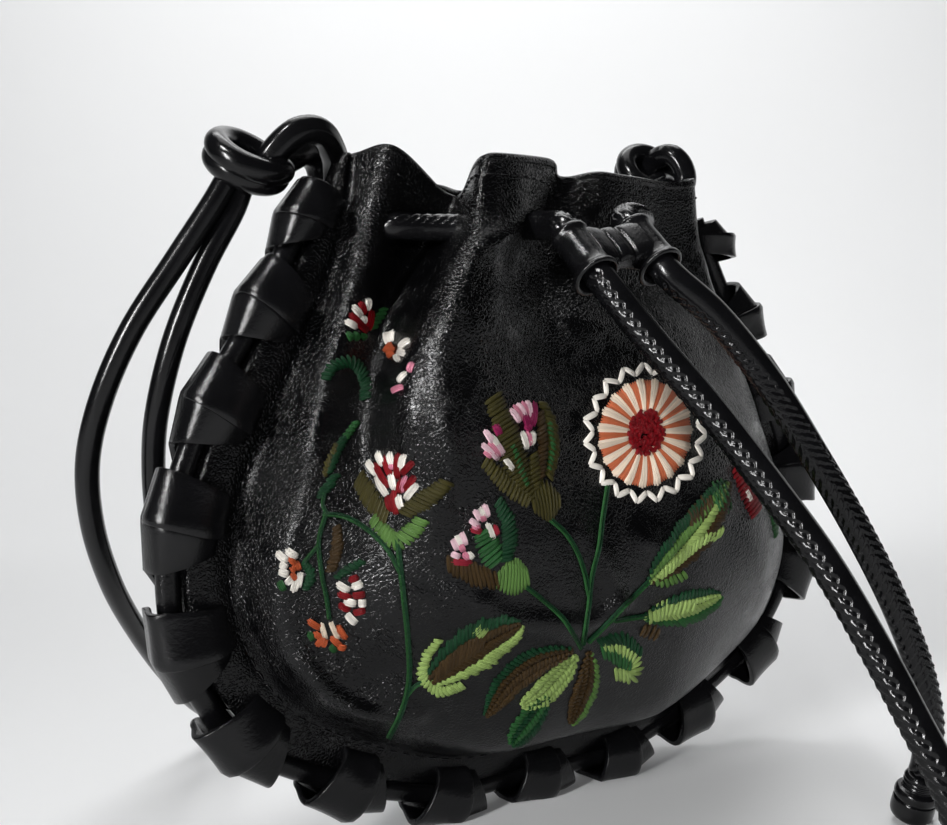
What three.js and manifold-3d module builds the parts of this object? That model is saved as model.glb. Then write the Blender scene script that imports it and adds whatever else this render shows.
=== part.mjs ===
// A mini drawstring bag of black leather, standing on z = 0 with its front towards -Y.
// Two bulging panels meet in a flat flange round the sides and the base. A wide strip is laced
// round the flange, a braided drawstring gathers the neck, and a knotted cord is the strap.
// Millimetres, +Z up.

import * as THREE from "three";
import { mergeVertices } from "three/addons/utils/BufferGeometryUtils.js";
import Module from "manifold-3d";

const wasm = await Module();
wasm.setup();

// Leather, cords and clearances
const WALL = 1.8;
const GAP = 0.3;
const PIPING_DIAMETER = 4.6;
const PIPING_END = 0.3;
const STRIP_THICKNESS = 1.4;
const STRAP_DIAMETER = 4.2;
const BRAID_DIAMETER = 5.6;
const SLOT_WIDTH = 3.2;
const SLOT_CLEARANCE = 2;
const SLOT_BEFORE_SEAM = 3;
const SLOT_CUT_DEPTH = 20;
const CORD_HOLE_CLEARANCE = 3 * GAP;

// Right half of the outer edge, from the middle of the base up to the top corner.
// Every row but the last is a lacing station; seam is how far in the stitched seam lies.
const EDGE = [
  { x: 0, z: 2.1, seam: 11.5 },
  { x: 23.4, z: 2.4, seam: 11.5 },
  { x: 47.2, z: 9.4, seam: 12.5 },
  { x: 69.7, z: 22.4, seam: 13.5 },
  { x: 82.3, z: 43.3, seam: 14 },
  { x: 83, z: 68, seam: 14 },
  { x: 75.2, z: 89.9, seam: 14 },
  { x: 64.4, z: 108.7, seam: 13 },
  { x: 55.5, z: 125.6, seam: 10.5 },
  { x: 50, z: 138, seam: 7 },
];
const RIM_Z = 137;
const SPINE_FOOT_Z = 40;

// The weight of the bag tucks the flange under the base by this angle. It is tucked in full where
// the flange points down by the second share, and not at all where it points down by the first.
const BASE_TUCK = THREE.MathUtils.degToRad(16);
const TUCK_FROM = 0.35;
const TUCK_FULL = 0.95;

// Between these heights the flange turns level, so that the panels end in a level rim.
const LEVEL_FROM_Z = 112;
const LEVEL_FULL_Z = 134;

// How far a panel stands out from the flange plane, at each height
const BULGE = [
  { z: 0, depth: 33 },
  { z: 50, depth: 34 },
  { z: 80, depth: 31 },
  { z: 100, depth: 25 },
  { z: 116, depth: 17.5 },
  { z: 126, depth: 15.5 },
  { z: 140, depth: 16.5 },
];
const BULGE_ROUNDNESS = 2.2;
const BULGE_REACH = 45;
const BULGE_REACH_LEAST = 26;
const BULGE_REACH_SHARE = 0.6;

// Gathers of the neck. at and foot: where the fold lies at the rim and at its foot. out: how far it
// stands out. lean: how far it leans sideways. drop: how far it lowers the rim. left and right: reach.
const FRONT_FOLDS = [
  { at: -41, foot: -52, footZ: 72, out: 9, lean: -4, drop: -2, left: 4.5, right: 5.5 },
  { at: -27, foot: -40, footZ: 60, out: -12, lean: 3, drop: 5, left: 7.5, right: 4.5 },
  { at: -16, foot: -28, footZ: 44, out: 12, lean: -8, drop: 2.5, left: 4.5, right: 9 },
  { at: 3, foot: 6, footZ: 88, out: -4.5, lean: 0, drop: 1.5, left: 5, right: 9 },
  { at: 40, foot: 50, footZ: 78, out: 6, lean: 3, drop: -2, left: 9, right: 4.5 },
];
const BACK_FOLDS = [
  { at: -40, foot: -50, footZ: 76, out: 8, lean: -3, drop: -0.5, left: 4.5, right: 6 },
  { at: -22, foot: -30, footZ: 66, out: -6, lean: 0, drop: 2, left: 7, right: 6 },
  { at: -3, foot: -4, footZ: 56, out: 5, lean: 0, drop: 0, left: 7, right: 7 },
  { at: 18, foot: 26, footZ: 70, out: -6, lean: 0, drop: 2, left: 6, right: 7 },
  { at: 40, foot: 50, footZ: 76, out: 8, lean: 3, drop: -0.5, left: 6, right: 4.5 },
];
const GATHER_Z = 118;
const DROP_FROM_Z = 108;
const FOLD_FULL_INSIDE = 10;
const FOLD_SPREAD = 0.8;

// Where the panel's rows lie: distances in from the edge along the flange, then shares of the way
// from the seam to the middle line.
const PANEL_EDGE = PIPING_DIAMETER + 1.5 * GAP;
const PANEL_SHARES = [0.09, 0.19, 0.29, 0.38, 0.47, 0.56, 0.68, 0.83, 1];
const STEPS_PER_STATION = 2;
const SEAM_STEPS_PER_STATION = 4;
const NORMAL_STEP = 0.4;

// One turn of the lacing, from the slot over the front and round the edge to the next slot.
// along: share of the way to the next station. out: past the edge. front: before the flange plane.
// ridge: how far the crease along the strip's middle stands up.
const LACE_TURN = [
  { along: 0, out: -11, front: 0, width: 9.5, ridge: 0 },
  { along: 0, out: -9.8, front: 3.6, width: 10.5, ridge: 0.3 },
  { along: 0, out: -5.4, front: 5.5, width: 14.6, ridge: 1.1 },
  { along: 0, out: -0.2, front: 4.6, width: 18.4, ridge: 1.4 },
  { along: 0, out: 1.2, front: 1.2, width: 19, ridge: 1 },
  { along: 0, out: 1.2, front: -1.2, width: 19, ridge: 0.8 },
  { along: 0.05, out: 0, front: -4, width: 18, ridge: 0.6 },
  { along: 0.45, out: -5, front: -4.9, width: 14, ridge: 0.2 },
  { along: 0.985, out: -10.2, front: -3.2, width: 10, ridge: 0 },
];
const LACE_START = { along: 0, out: -10, front: -3.2, width: 9.5, ridge: 0 };
const LACE_LAST_ROW = 7;
const LACE_PITCH = 24;
const LACE_SLOT = 11;

// Drawstring: the keeper's two tubes, the run through the neck, the two tails
const SLIDER = {
  length: 11,
  wall: 1,
  spacing: 15.2,
  web: 3,
  leadIn: 2,
  leadOut: 2,
  middle: [-8.9, -42.2, 115.4],
  axis: [0.1, -0.66, -0.72],
  side: [0.97, 0.05, 0.2],
};
const NECK_RUN = [
  [-15.4, -29.6, 121.4],
  [-16.4, -22.4, 122.4],
  [-22.6, -14.6, 122.6],
  [-30, -10, 123],
  [-36.4, -5.6, 123.4],
  [-38.6, 1.4, 123.6],
  [-31, 7, 123.6],
  [-16, 9.6, 123.4],
  [0, 11.4, 123.2],
  [16, 9.6, 123.2],
  [30, 5.6, 123.6],
  [34.4, -1, 124.4],
  [27, -8.2, 125.4],
  [14, -20, 125.6],
  [4.6, -29.4, 125],
];
const TAIL_LEFT = [
  [-10.6, -53, 98.6],
  [-4, -60.4, 86.4],
  [2, -68.6, 72.6],
  [6.6, -75.8, 60.4],
  [10.6, -82, 47.4],
  [13.4, -87.2, 36],
  [16.4, -92, 24],
];
const TAIL_RIGHT = [
  [7, -51.4, 103],
  [16.4, -55.6, 90.2],
  [25.2, -58.8, 75.6],
  [33.8, -61.4, 61],
  [42.4, -63.2, 45.2],
  [49, -63.6, 31],
  [52.4, -62.6, 20.6],
];
// The knob's profile: shares of its radius, at shares of its half length from the ground end up.
const END_KNOB = { diameter: 8.8, length: 10.6, lead: 2 };
const KNOB_PROFILE = [
  { radius: 0, height: -1 },
  { radius: 0.72, height: -0.86 },
  { radius: 1, height: -0.4 },
  { radius: 0.94, height: 0 },
  { radius: 0.98, height: 0.4 },
  { radius: 0.75, height: 0.92 },
  { radius: 0, height: 0.94 },
];
const END_LEFT = { middle: [21.6, -98.2, 5.6], axis: [-0.4, 0.5, 0.77] };
const END_RIGHT = { middle: [53.2, -58.6, 5.5], axis: [-0.02, -0.32, 0.95] };

// Strap: the two strands from knot to knot, laid on the ground behind the bag
const STRAND_OUTER = [
  [-69.4, 3.5, 127.6],
  [-76, 6.4, 116.8],
  [-84.2, 10, 103.2],
  [-89.2, 14, 90.2],
  [-91, 18.4, 78.6],
  [-89.2, 24.6, 66],
  [-84, 32.6, 52.4],
  [-75.4, 44, 38.4],
  [-64, 58, 23.6],
  [-50, 74, 10],
  [-34, 87, 3.1],
  [-12, 96, 2.3],
  [14, 98, 2.3],
  [38, 92, 2.5],
  [55, 80, 8.4],
  [65, 68, 24],
  [70.6, 57, 45],
  [72.4, 47.6, 68],
  [70.4, 39, 92],
  [64.6, 31, 116],
  [57, 23.6, 135.2],
];
const STRAND_INNER = [
  [-65.2, 4.4, 126.8],
  [-70.6, 6.4, 116],
  [-76.2, 9, 101.6],
  [-78.8, 13, 88],
  [-78.6, 17.4, 79],
  [-76.6, 23.6, 67],
  [-71.4, 33, 51],
  [-62.6, 45, 34.4],
  [-51, 58, 18],
  [-38, 69, 6],
  [-20, 77.6, 2.5],
  [4, 80.6, 2.4],
  [28, 76, 2.5],
  [44, 66.4, 8.4],
  [54.6, 56, 25],
  [60.6, 47, 46],
  [63.4, 39.6, 69],
  [62.6, 33, 92],
  [58.6, 27.4, 114],
  [52.4, 21.6, 133.6],
];

// Strap knots. loop: the bight through the top corner. turns: rings of cord round both strands,
// each with its middle, its axis and its radius.
const KNOT_LEFT = {
  loop: [
    [-69.2, 3.4, 127.9],
    [-66.6, 2, 132.4],
    [-62.4, 0, 138],
    [-57, -1.6, 142.2],
    [-50.4, -2, 142.8],
    [-45, -1.4, 138.4],
    [-42, 2, 132],
    [-41.6, 7.6, 128.8],
    [-43.4, 12.4, 131],
    [-48, 13, 137],
    [-55, 8.6, 139.6],
    [-61, 5.2, 135.6],
    [-63.8, 4.6, 131],
    [-64.95, 4.36, 127.6],
  ],
  turns: [
    { middle: [-64.6, 2.6, 134], axis: [-0.3, 0.2, -0.93], radius: 6 },
    { middle: [-62.4, 1.6, 137.2], axis: [0.72, 0.3, -0.62], radius: 5 },
  ],
};
const KNOT_RIGHT = {
  loop: [
    [56.8, 23.4, 135.6],
    [53.6, 19.4, 142],
    [50.4, 15, 147],
    [47.4, 9.6, 148],
    [44.4, 4.4, 143.6],
    [42.4, 2, 136],
    [41.4, 4.6, 130],
    [41.8, 10.6, 128.6],
    [43.4, 15.4, 132],
    [45.6, 18, 139],
    [48.4, 18.8, 142.6],
    [50.8, 20.2, 138.6],
    [52.3, 21.5, 134],
  ],
  turns: [
    { middle: [50, 17, 146], axis: [0.4, 0.5, -0.78], radius: 6.1 },
    { middle: [48.6, 15.6, 147.4], axis: [-0.5, 0.6, -0.6], radius: 5 },
  ],
};

// Faces round each tube, and steps along it
const PIPING = { sides: 7, stepsPerStation: 2 };
const NECK = { sides: 8, steps: 35 };
const TAIL = { sides: 8, steps: 15 };
const STRAND = { sides: 8, steps: 35 };
const BIGHT = { sides: 6, steps: 15 };
const KNOT_TURN = { sides: 6, steps: 11 };
const KNOB_FACES = { sides: 12, steps: 9 };
const SLIDER_ARC_STEPS = 7;

const BLACK_LEATHER = { color: 0x141416, roughness: 0.38, metalness: 0 };
const STRIP_LEATHER = { color: 0x18191b, roughness: 0.45, metalness: 0 };
const CORD_LEATHER = { color: 0x101113, roughness: 0.35, metalness: 0 };

const vector = (values) => new THREE.Vector3(...values);
const smooth = (low, high, value) => THREE.MathUtils.smoothstep(value, low, high);

// Closed surfaces and joins

function geometryFrom(points, triangles) {
  const geometry = new THREE.BufferGeometry();
  geometry.setAttribute("position", new THREE.Float32BufferAttribute(points.flatMap((p) => p.toArray()), 3));
  geometry.setIndex(triangles);
  return geometry;
}

// A solid from a closed geometry, turned right side out if its faces point inwards.
function solidOf(geometry) {
  const bare = geometry.clone();
  bare.deleteAttribute("normal");
  bare.deleteAttribute("uv");
  const merged = mergeVertices(bare, 1e-4);
  const place = merged.getAttribute("position");
  const kept = [];
  let volume = 0;
  const [a, b, c] = [new THREE.Vector3(), new THREE.Vector3(), new THREE.Vector3()];
  for (let i = 0; i < merged.index.count; i += 3) {
    const corners = [0, 1, 2].map((k) => merged.index.getX(i + k));
    if (new Set(corners).size < 3) continue;
    [a, b, c].forEach((v, k) => v.fromBufferAttribute(place, corners[k]));
    volume += a.dot(b.cross(c));
    kept.push(corners);
  }
  const triVerts = new Uint32Array(kept.flatMap((t) => (volume < 0 ? t.reverse() : t)));
  const vertProperties = new Float32Array(place.array);
  return new wasm.Manifold(new wasm.Mesh({ numProp: 3, vertProperties, triVerts }));
}

function geometryOf(solid) {
  const mesh = solid.getMesh();
  const geometry = new THREE.BufferGeometry();
  geometry.setAttribute("position", new THREE.BufferAttribute(new Float32Array(mesh.vertProperties), 3));
  geometry.setIndex(new THREE.BufferAttribute(new Uint32Array(mesh.triVerts), 1));
  geometry.computeVertexNormals();
  return geometry;
}

// A closed body through rings of the same number of points, with flat ends.
function loft(rings) {
  const count = rings[0].length;
  const triangles = [];
  for (let r = 0; r + 1 < rings.length; r++) {
    for (let i = 0; i < count; i++) {
      const [a, b] = [r * count + i, r * count + ((i + 1) % count)];
      triangles.push(a, b, a + count, b, b + count, a + count);
    }
  }
  const last = (rings.length - 1) * count;
  for (let i = 1; i + 1 < count; i++) {
    triangles.push(0, i + 1, i);
    triangles.push(last, last + i, last + i + 1);
  }
  return solidOf(geometryFrom(rings.flat(), triangles));
}

function tube(route, diameter, { sides, steps }) {
  const extrudePath = new THREE.CatmullRomCurve3(route.map(vector), false, "centripetal");
  const corners = [];
  for (let k = 0; k < sides; k++) {
    const angle = (2 * Math.PI * k) / sides;
    corners.push(new THREE.Vector2(Math.cos(angle), Math.sin(angle)).multiplyScalar(diameter / 2));
  }
  return new THREE.ExtrudeGeometry(new THREE.Shape(corners), { extrudePath, steps, bevelEnabled: false });
}

// The outer edge and the flange along it

const edgePoints = [
  ...EDGE.slice(1)
    .reverse()
    .map((row) => new THREE.Vector3(-row.x, 0, row.z)),
  ...EDGE.map((row) => new THREE.Vector3(row.x, 0, row.z)),
];
const edgeSeams = [...EDGE.slice(1).reverse(), ...EDGE].map((row) => row.seam);
const edgeCurve = new THREE.CatmullRomCurve3(edgePoints, false, "centripetal");
const EDGE_SPANS = edgePoints.length - 1;

// The flange's frame at a place counted in stations: origin on the edge, out and front directions.
function flangeAt(station) {
  const share = THREE.MathUtils.clamp(station / EDGE_SPANS, 0, 1);
  const origin = edgeCurve.getPoint(share);
  const along = edgeCurve.getTangent(share);
  const slope = 1 - smooth(LEVEL_FROM_Z, LEVEL_FULL_Z, origin.z);
  const outward = new THREE.Vector3(along.z, 0, -along.x * slope).normalize();
  const tuck = BASE_TUCK * smooth(TUCK_FROM, TUCK_FULL, -outward.z);
  const back = new THREE.Vector3(0, 1, 0);
  const out = outward.clone().multiplyScalar(Math.cos(tuck)).addScaledVector(back, Math.sin(tuck));
  const front = outward.clone().multiplyScalar(Math.sin(tuck)).addScaledVector(back, -Math.cos(tuck));
  const before = Math.min(Math.floor(share * EDGE_SPANS), EDGE_SPANS - 1);
  const seam = THREE.MathUtils.lerp(edgeSeams[before], edgeSeams[before + 1], share * EDGE_SPANS - before);
  origin.y = seam * Math.sin(tuck);
  return { origin, along, out, front, seam };
}

function flangePoint(frame, out, front, along = 0) {
  return frame.origin
    .clone()
    .addScaledVector(frame.out, out)
    .addScaledVector(frame.front, front)
    .addScaledVector(frame.along, along);
}

// The panels

const SEAM_LINE = [];
for (let k = 0; k <= EDGE_SPANS * SEAM_STEPS_PER_STATION; k++) {
  const frame = flangeAt(k / SEAM_STEPS_PER_STATION);
  SEAM_LINE.push(flangePoint(frame, -frame.seam, 0));
}

// How far a place in the x-z plane lies from the seam.
function fromSeam(x, z) {
  let nearest = Infinity;
  for (let k = 0; k + 1 < SEAM_LINE.length; k++) {
    const [a, b] = [SEAM_LINE[k], SEAM_LINE[k + 1]];
    const [dx, dz] = [b.x - a.x, b.z - a.z];
    const along = ((x - a.x) * dx + (z - a.z) * dz) / (dx * dx + dz * dz);
    const share = THREE.MathUtils.clamp(along, 0, 1);
    nearest = Math.min(nearest, Math.hypot(x - a.x - share * dx, z - a.z - share * dz));
  }
  return nearest;
}

function bulgeDepth(z) {
  const above = BULGE.findIndex((row) => row.z > z);
  const [low, high] = [BULGE[above - 1], BULGE[above]];
  return THREE.MathUtils.lerp(low.depth, high.depth, smooth(low.z, high.z, z));
}

function seamHalfWidth(z) {
  const right = SEAM_LINE.slice(SEAM_LINE.length / 2);
  const above = right.findIndex((p) => p.z > z);
  return above < 0 ? right.at(-1).x : right[above].x;
}

// A panel's outer face over the place (x, z) of the flange plane; side is -1 in front, 1 behind.
function panelFace(x, z, folds, side) {
  const inside = fromSeam(x, z);
  const reach = Math.min(BULGE_REACH, Math.max(BULGE_REACH_LEAST, BULGE_REACH_SHARE * seamHalfWidth(z)));
  const rise = 1 - Math.pow(1 - Math.min(inside / reach, 1), BULGE_ROUNDNESS);
  const place = new THREE.Vector3(x, bulgeDepth(z) * rise, z);
  const held = smooth(0, FOLD_FULL_INSIDE, inside);
  for (const fold of folds) {
    const down = THREE.MathUtils.clamp((RIM_Z - z) / (RIM_Z - fold.footZ), 0, 1);
    const offset = x - THREE.MathUtils.lerp(fold.at, fold.foot, down);
    const reachHere = (offset < 0 ? fold.left : fold.right) * (1 + FOLD_SPREAD * down);
    const strength = Math.exp(-((offset / reachHere) ** 2)) * smooth(fold.footZ, GATHER_Z, z) * held;
    place.y += fold.out * strength;
    place.x += fold.lean * strength;
    place.z -= fold.drop * strength * smooth(DROP_FROM_Z, RIM_Z, z);
  }
  place.y = side * (place.y + GAP / 2 + WALL);
  return place;
}

// The face's outward normal, from two short steps over it.
function panelNormal(x, z, folds, side) {
  const face = (dx, dz) => panelFace(x + dx * NORMAL_STEP, z + dz * NORMAL_STEP, folds, side);
  const east = face(1, 0).sub(face(-1, 0));
  const up = face(0, 1).sub(face(0, -1));
  const normal = east.cross(up).normalize();
  return normal.y * side < 0 ? normal.negate() : normal;
}

function panel(folds, side) {
  const stations = EDGE_SPANS * STEPS_PER_STATION;
  const outer = [];
  const inner = [];
  for (let k = 0; k <= stations; k++) {
    const frame = flangeAt(k / STEPS_PER_STATION);
    const seamPoint = flangePoint(frame, -frame.seam, 0);
    const top = SEAM_LINE[0].z;
    const low = SEAM_LINE[(SEAM_LINE.length - 1) / 2].z;
    const climb = (seamPoint.z - low) / (top - low);
    const spineZ = THREE.MathUtils.lerp(SPINE_FOOT_Z, RIM_Z, climb);
    const flangeRows = [PANEL_EDGE, frame.seam];
    const outerRow = flangeRows.map((row) => flangePoint(frame, -row, -side * (GAP / 2 + WALL)));
    const innerRow = flangeRows.map((row) => flangePoint(frame, -row, (-side * GAP) / 2));
    for (const share of PANEL_SHARES) {
      const x = seamPoint.x * (1 - share);
      const z = THREE.MathUtils.lerp(seamPoint.z, spineZ, share);
      const face = panelFace(x, z, folds, side);
      outerRow.push(face);
      innerRow.push(face.clone().addScaledVector(panelNormal(x, z, folds, side), -WALL));
    }
    outer.push(outerRow);
    inner.push(innerRow);
  }
  return solidOf(shell(outer, inner));
}

// A closed sheet between two grids of points whose last rows fold together along the middle line.
function shell(outer, inner) {
  const rows = outer[0].length;
  const points = [...outer.flat(), ...inner.flat()];
  const under = outer.length * rows;
  const triangles = [];
  const quad = (a, b, c, d) => triangles.push(a, b, c, a, c, d);
  for (let k = 0; k + 1 < outer.length; k++) {
    for (let r = 0; r + 1 < rows; r++) {
      const a = k * rows + r;
      quad(a, a + 1, a + rows + 1, a + rows);
      quad(under + a, under + a + rows, under + a + rows + 1, under + a + 1);
    }
    quad(k * rows, (k + 1) * rows, under + (k + 1) * rows, under + k * rows);
  }
  const last = (outer.length - 1) * rows;
  for (let r = 0; r + 1 < rows; r++) {
    quad(r, under + r, under + r + 1, r + 1);
    quad(last + r, last + r + 1, under + last + r + 1, under + last + r);
  }
  return geometryFrom(points, triangles);
}

// The lacing

const stationCount = EDGE_SPANS - 1;
const stationNumbers = Array.from({ length: stationCount }, (_, k) => k + 1);

// The strip is narrower where its stations lie closer together.
function stationScale(station) {
  const before = edgePoints[station].distanceTo(edgePoints[station - 1]);
  const after = edgePoints[station].distanceTo(edgePoints[station + 1]);
  const atTop = station === 1 || station === stationCount;
  const pitch = atTop ? Math.max(before, after) : (before + after) / 2;
  return Math.min(1, pitch / LACE_PITCH);
}

function slotInset(station) {
  return flangeAt(station).seam - SLOT_BEFORE_SEAM;
}

// The six corners of the strip's section at a row of the turn, with a crease in its middle.
function laceSection(row, previous, next, station) {
  const target = station + row.along;
  const frame = flangeAt(target);
  const inset = THREE.MathUtils.lerp(
    slotInset(station),
    slotInset(Math.min(station + 1, stationCount)),
    row.along,
  );
  const deep = (value) => (value < 0 ? (value * inset) / LACE_SLOT : value);
  const run = new THREE.Vector2(deep(next.out) - deep(previous.out), next.front - previous.front).normalize();
  const up = new THREE.Vector2(-run.y, run.x);
  const half = (row.width / 2) * stationScale(station);
  const corner = (across, lift) =>
    flangePoint(frame, deep(row.out) + up.x * lift, row.front + up.y * lift, across);
  const thick = STRIP_THICKNESS / 2;
  return [
    corner(-half, -thick),
    corner(0, row.ridge - thick),
    corner(half, -thick),
    corner(half, thick),
    corner(0, row.ridge + thick),
    corner(-half, thick),
  ].map((point) => point.setZ(Math.max(point.z, 0)));
}

function edgeLace() {
  const rows = [{ row: LACE_START, station: 1 }];
  for (const station of stationNumbers) {
    const isLast = station === stationCount;
    const turn = isLast ? LACE_TURN.slice(0, LACE_LAST_ROW) : LACE_TURN;
    turn.forEach((row) => rows.push({ row, station }));
  }
  const rings = rows.map(({ row, station }, k) => {
    const previous = rows[Math.max(k - 1, 0)].row;
    const next = rows[Math.min(k + 1, rows.length - 1)].row;
    return laceSection(row, previous, next, station);
  });
  return loft(rings);
}

function slotCutter(station) {
  const frame = flangeAt(station);
  const length = LACE_TURN[0].width * stationScale(station) + SLOT_CLEARANCE;
  const box = new THREE.BoxGeometry(length, SLOT_WIDTH, SLOT_CUT_DEPTH);
  const place = new THREE.Matrix4().makeBasis(frame.along, frame.out, frame.front);
  place.setPosition(flangePoint(frame, -slotInset(station), 0));
  return solidOf(box.applyMatrix4(place));
}

// The piping

function edgePiping() {
  const steps = EDGE_SPANS * PIPING.stepsPerStation;
  const route = [];
  for (let k = 0; k <= steps; k++) {
    const station = THREE.MathUtils.clamp(k / PIPING.stepsPerStation, PIPING_END, EDGE_SPANS - PIPING_END);
    route.push(flangePoint(flangeAt(station), -PIPING_DIAMETER / 2, 0).toArray());
  }
  return solidOf(tube(route, PIPING_DIAMETER, { sides: PIPING.sides, steps }));
}

// The drawstring

const sliderAxis = vector(SLIDER.axis).normalize();
const sliderNormal = sliderAxis.clone().cross(vector(SLIDER.side)).normalize();
const sliderSide = sliderNormal.clone().cross(sliderAxis).normalize();

// A place on the keeper's tube: which is -1 for the left one and 1 for the right one.
function sliderPoint(which, along) {
  return vector(SLIDER.middle)
    .addScaledVector(sliderSide, (which * SLIDER.spacing) / 2)
    .addScaledVector(sliderAxis, along)
    .toArray();
}

function drawstringSlider() {
  const bore = BRAID_DIAMETER / 2 + GAP;
  const radius = bore + SLIDER.wall;
  const half = SLIDER.spacing / 2;
  const join = Math.asin(SLIDER.web / 2 / radius);
  const outline = new THREE.Shape();
  outline.absarc(half, 0, radius, Math.PI + join, Math.PI * 3 - join);
  outline.absarc(-half, 0, radius, join, Math.PI * 2 - join);
  outline.closePath();
  for (const which of [-half, half]) {
    outline.holes.push(new THREE.Path().absarc(which, 0, bore, 0, 2 * Math.PI));
  }
  const body = new THREE.ExtrudeGeometry(outline, {
    depth: SLIDER.length,
    curveSegments: SLIDER_ARC_STEPS,
    bevelEnabled: false,
  });
  body.translate(0, 0, -SLIDER.length / 2);
  const place = new THREE.Matrix4().makeBasis(sliderSide, sliderNormal.clone().negate(), sliderAxis);
  place.setPosition(vector(SLIDER.middle));
  return solidOf(body.applyMatrix4(place));
}

// The neck run ends in the middle of the keeper's tubes, a small gap before the tails begin.
const neckRoute = [
  sliderPoint(-1, -GAP / 2),
  sliderPoint(-1, -SLIDER.length / 2),
  sliderPoint(-1, -SLIDER.length / 2 - SLIDER.leadIn),
  ...NECK_RUN,
  sliderPoint(1, -SLIDER.length / 2 - SLIDER.leadIn),
  sliderPoint(1, -SLIDER.length / 2),
  sliderPoint(1, -GAP / 2),
];

function drawstringTail(which, points, { middle, axis }) {
  const knobTop = (lift) =>
    vector(middle)
      .addScaledVector(vector(axis).normalize(), END_KNOB.length / 2 + lift)
      .toArray();
  const route = [
    sliderPoint(which, GAP / 2),
    sliderPoint(which, SLIDER.length / 2 + SLIDER.leadOut),
    ...points,
    knobTop(END_KNOB.lead),
    knobTop(GAP),
  ];
  return solidOf(tube(route, BRAID_DIAMETER, TAIL));
}

// A knob that rests on the ground: a round collar, a waist and a round end.
function endKnob({ middle, axis }) {
  const corners = KNOB_PROFILE.map(
    (row) => new THREE.Vector2((row.radius * END_KNOB.diameter) / 2, (row.height * END_KNOB.length) / 2),
  );
  const profile = new THREE.SplineCurve(corners).getPoints(KNOB_FACES.steps);
  profile[0].x = 0;
  profile.at(-1).x = 0;
  const body = new THREE.LatheGeometry(profile, KNOB_FACES.sides).rotateX(Math.PI / 2);
  const turn = new THREE.Quaternion().setFromUnitVectors(new THREE.Vector3(0, 0, 1), vector(axis).normalize());
  body.applyQuaternion(turn).translate(...middle);
  const place = body.getAttribute("position");
  for (let i = 0; i < place.count; i++) place.setZ(i, Math.max(place.getZ(i), 0));
  return solidOf(body);
}

// The strap

function ring({ middle, axis, radius }) {
  const turn = new THREE.Quaternion().setFromUnitVectors(new THREE.Vector3(0, 0, 1), vector(axis).normalize());
  const torus = new THREE.TorusGeometry(radius, STRAP_DIAMETER / 2, KNOT_TURN.sides, KNOT_TURN.steps);
  return solidOf(torus.applyQuaternion(turn).translate(...middle));
}

function strapKnot({ loop, turns }) {
  const bight = solidOf(tube(loop, STRAP_DIAMETER, BIGHT));
  return turns.reduce((joined, turn) => joined.add(ring(turn)), bight);
}

// Assembly

const slots = stationNumbers.map(slotCutter);
const slits = solidOf(tube(neckRoute, BRAID_DIAMETER + CORD_HOLE_CLEARANCE, NECK));
const strapHoles = [KNOT_LEFT, KNOT_RIGHT].map((knot) =>
  solidOf(tube(knot.loop, STRAP_DIAMETER + CORD_HOLE_CLEARANCE, BIGHT)),
);
const cutters = [...slots, slits, ...strapHoles];
const cutPanel = (solid) => cutters.reduce((left, cutter) => left.subtract(cutter), solid);

const pieces = [
  ["front_panel", cutPanel(panel(FRONT_FOLDS, -1)), BLACK_LEATHER],
  ["back_panel", cutPanel(panel(BACK_FOLDS, 1)), BLACK_LEATHER],
  ["edge_piping", edgePiping(), BLACK_LEATHER],
  ["edge_lace", edgeLace(), STRIP_LEATHER],
  ["drawstring_neck", solidOf(tube(neckRoute, BRAID_DIAMETER, NECK)), CORD_LEATHER],
  ["drawstring_tail_left", drawstringTail(-1, TAIL_LEFT, END_LEFT), CORD_LEATHER],
  ["drawstring_tail_right", drawstringTail(1, TAIL_RIGHT, END_RIGHT), CORD_LEATHER],
  ["drawstring_end_left", endKnob(END_LEFT), CORD_LEATHER],
  ["drawstring_end_right", endKnob(END_RIGHT), CORD_LEATHER],
  ["drawstring_slider", drawstringSlider(), STRIP_LEATHER],
  ["strap_knot_left", strapKnot(KNOT_LEFT), CORD_LEATHER],
  ["strap_knot_right", strapKnot(KNOT_RIGHT), CORD_LEATHER],
  ["strap_strand_outer", solidOf(tube(STRAND_OUTER, STRAP_DIAMETER, STRAND)), CORD_LEATHER],
  ["strap_strand_inner", solidOf(tube(STRAND_INNER, STRAP_DIAMETER, STRAND)), CORD_LEATHER],
];

const bag = new THREE.Group();
bag.name = "mini_bag";
for (const [name, solid, finish] of pieces) {
  const mesh = new THREE.Mesh(geometryOf(solid), new THREE.MeshStandardMaterial(finish));
  mesh.name = name;
  bag.add(mesh);
}

export default bag;
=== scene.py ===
import math

import bpy
import numpy as np
from mathutils import Matrix, Vector
from mathutils.bvhtree import BVHTree


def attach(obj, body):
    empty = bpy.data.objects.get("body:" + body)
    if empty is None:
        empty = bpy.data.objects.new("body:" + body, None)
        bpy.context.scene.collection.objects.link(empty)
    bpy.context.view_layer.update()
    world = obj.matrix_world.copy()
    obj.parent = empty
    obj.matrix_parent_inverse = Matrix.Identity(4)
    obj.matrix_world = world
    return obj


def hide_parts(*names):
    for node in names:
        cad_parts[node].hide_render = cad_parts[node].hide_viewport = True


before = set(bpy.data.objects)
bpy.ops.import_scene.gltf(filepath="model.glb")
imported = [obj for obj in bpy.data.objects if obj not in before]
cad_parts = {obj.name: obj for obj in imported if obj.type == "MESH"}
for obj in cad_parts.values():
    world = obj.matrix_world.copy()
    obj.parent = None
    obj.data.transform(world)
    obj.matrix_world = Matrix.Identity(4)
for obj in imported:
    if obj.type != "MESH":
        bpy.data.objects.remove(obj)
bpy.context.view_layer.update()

# Lengths are in millimetres in the tables, as in the part's source, and become metres in the meshes.
MM = 0.001

# The camera, at the photograph's place

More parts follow.
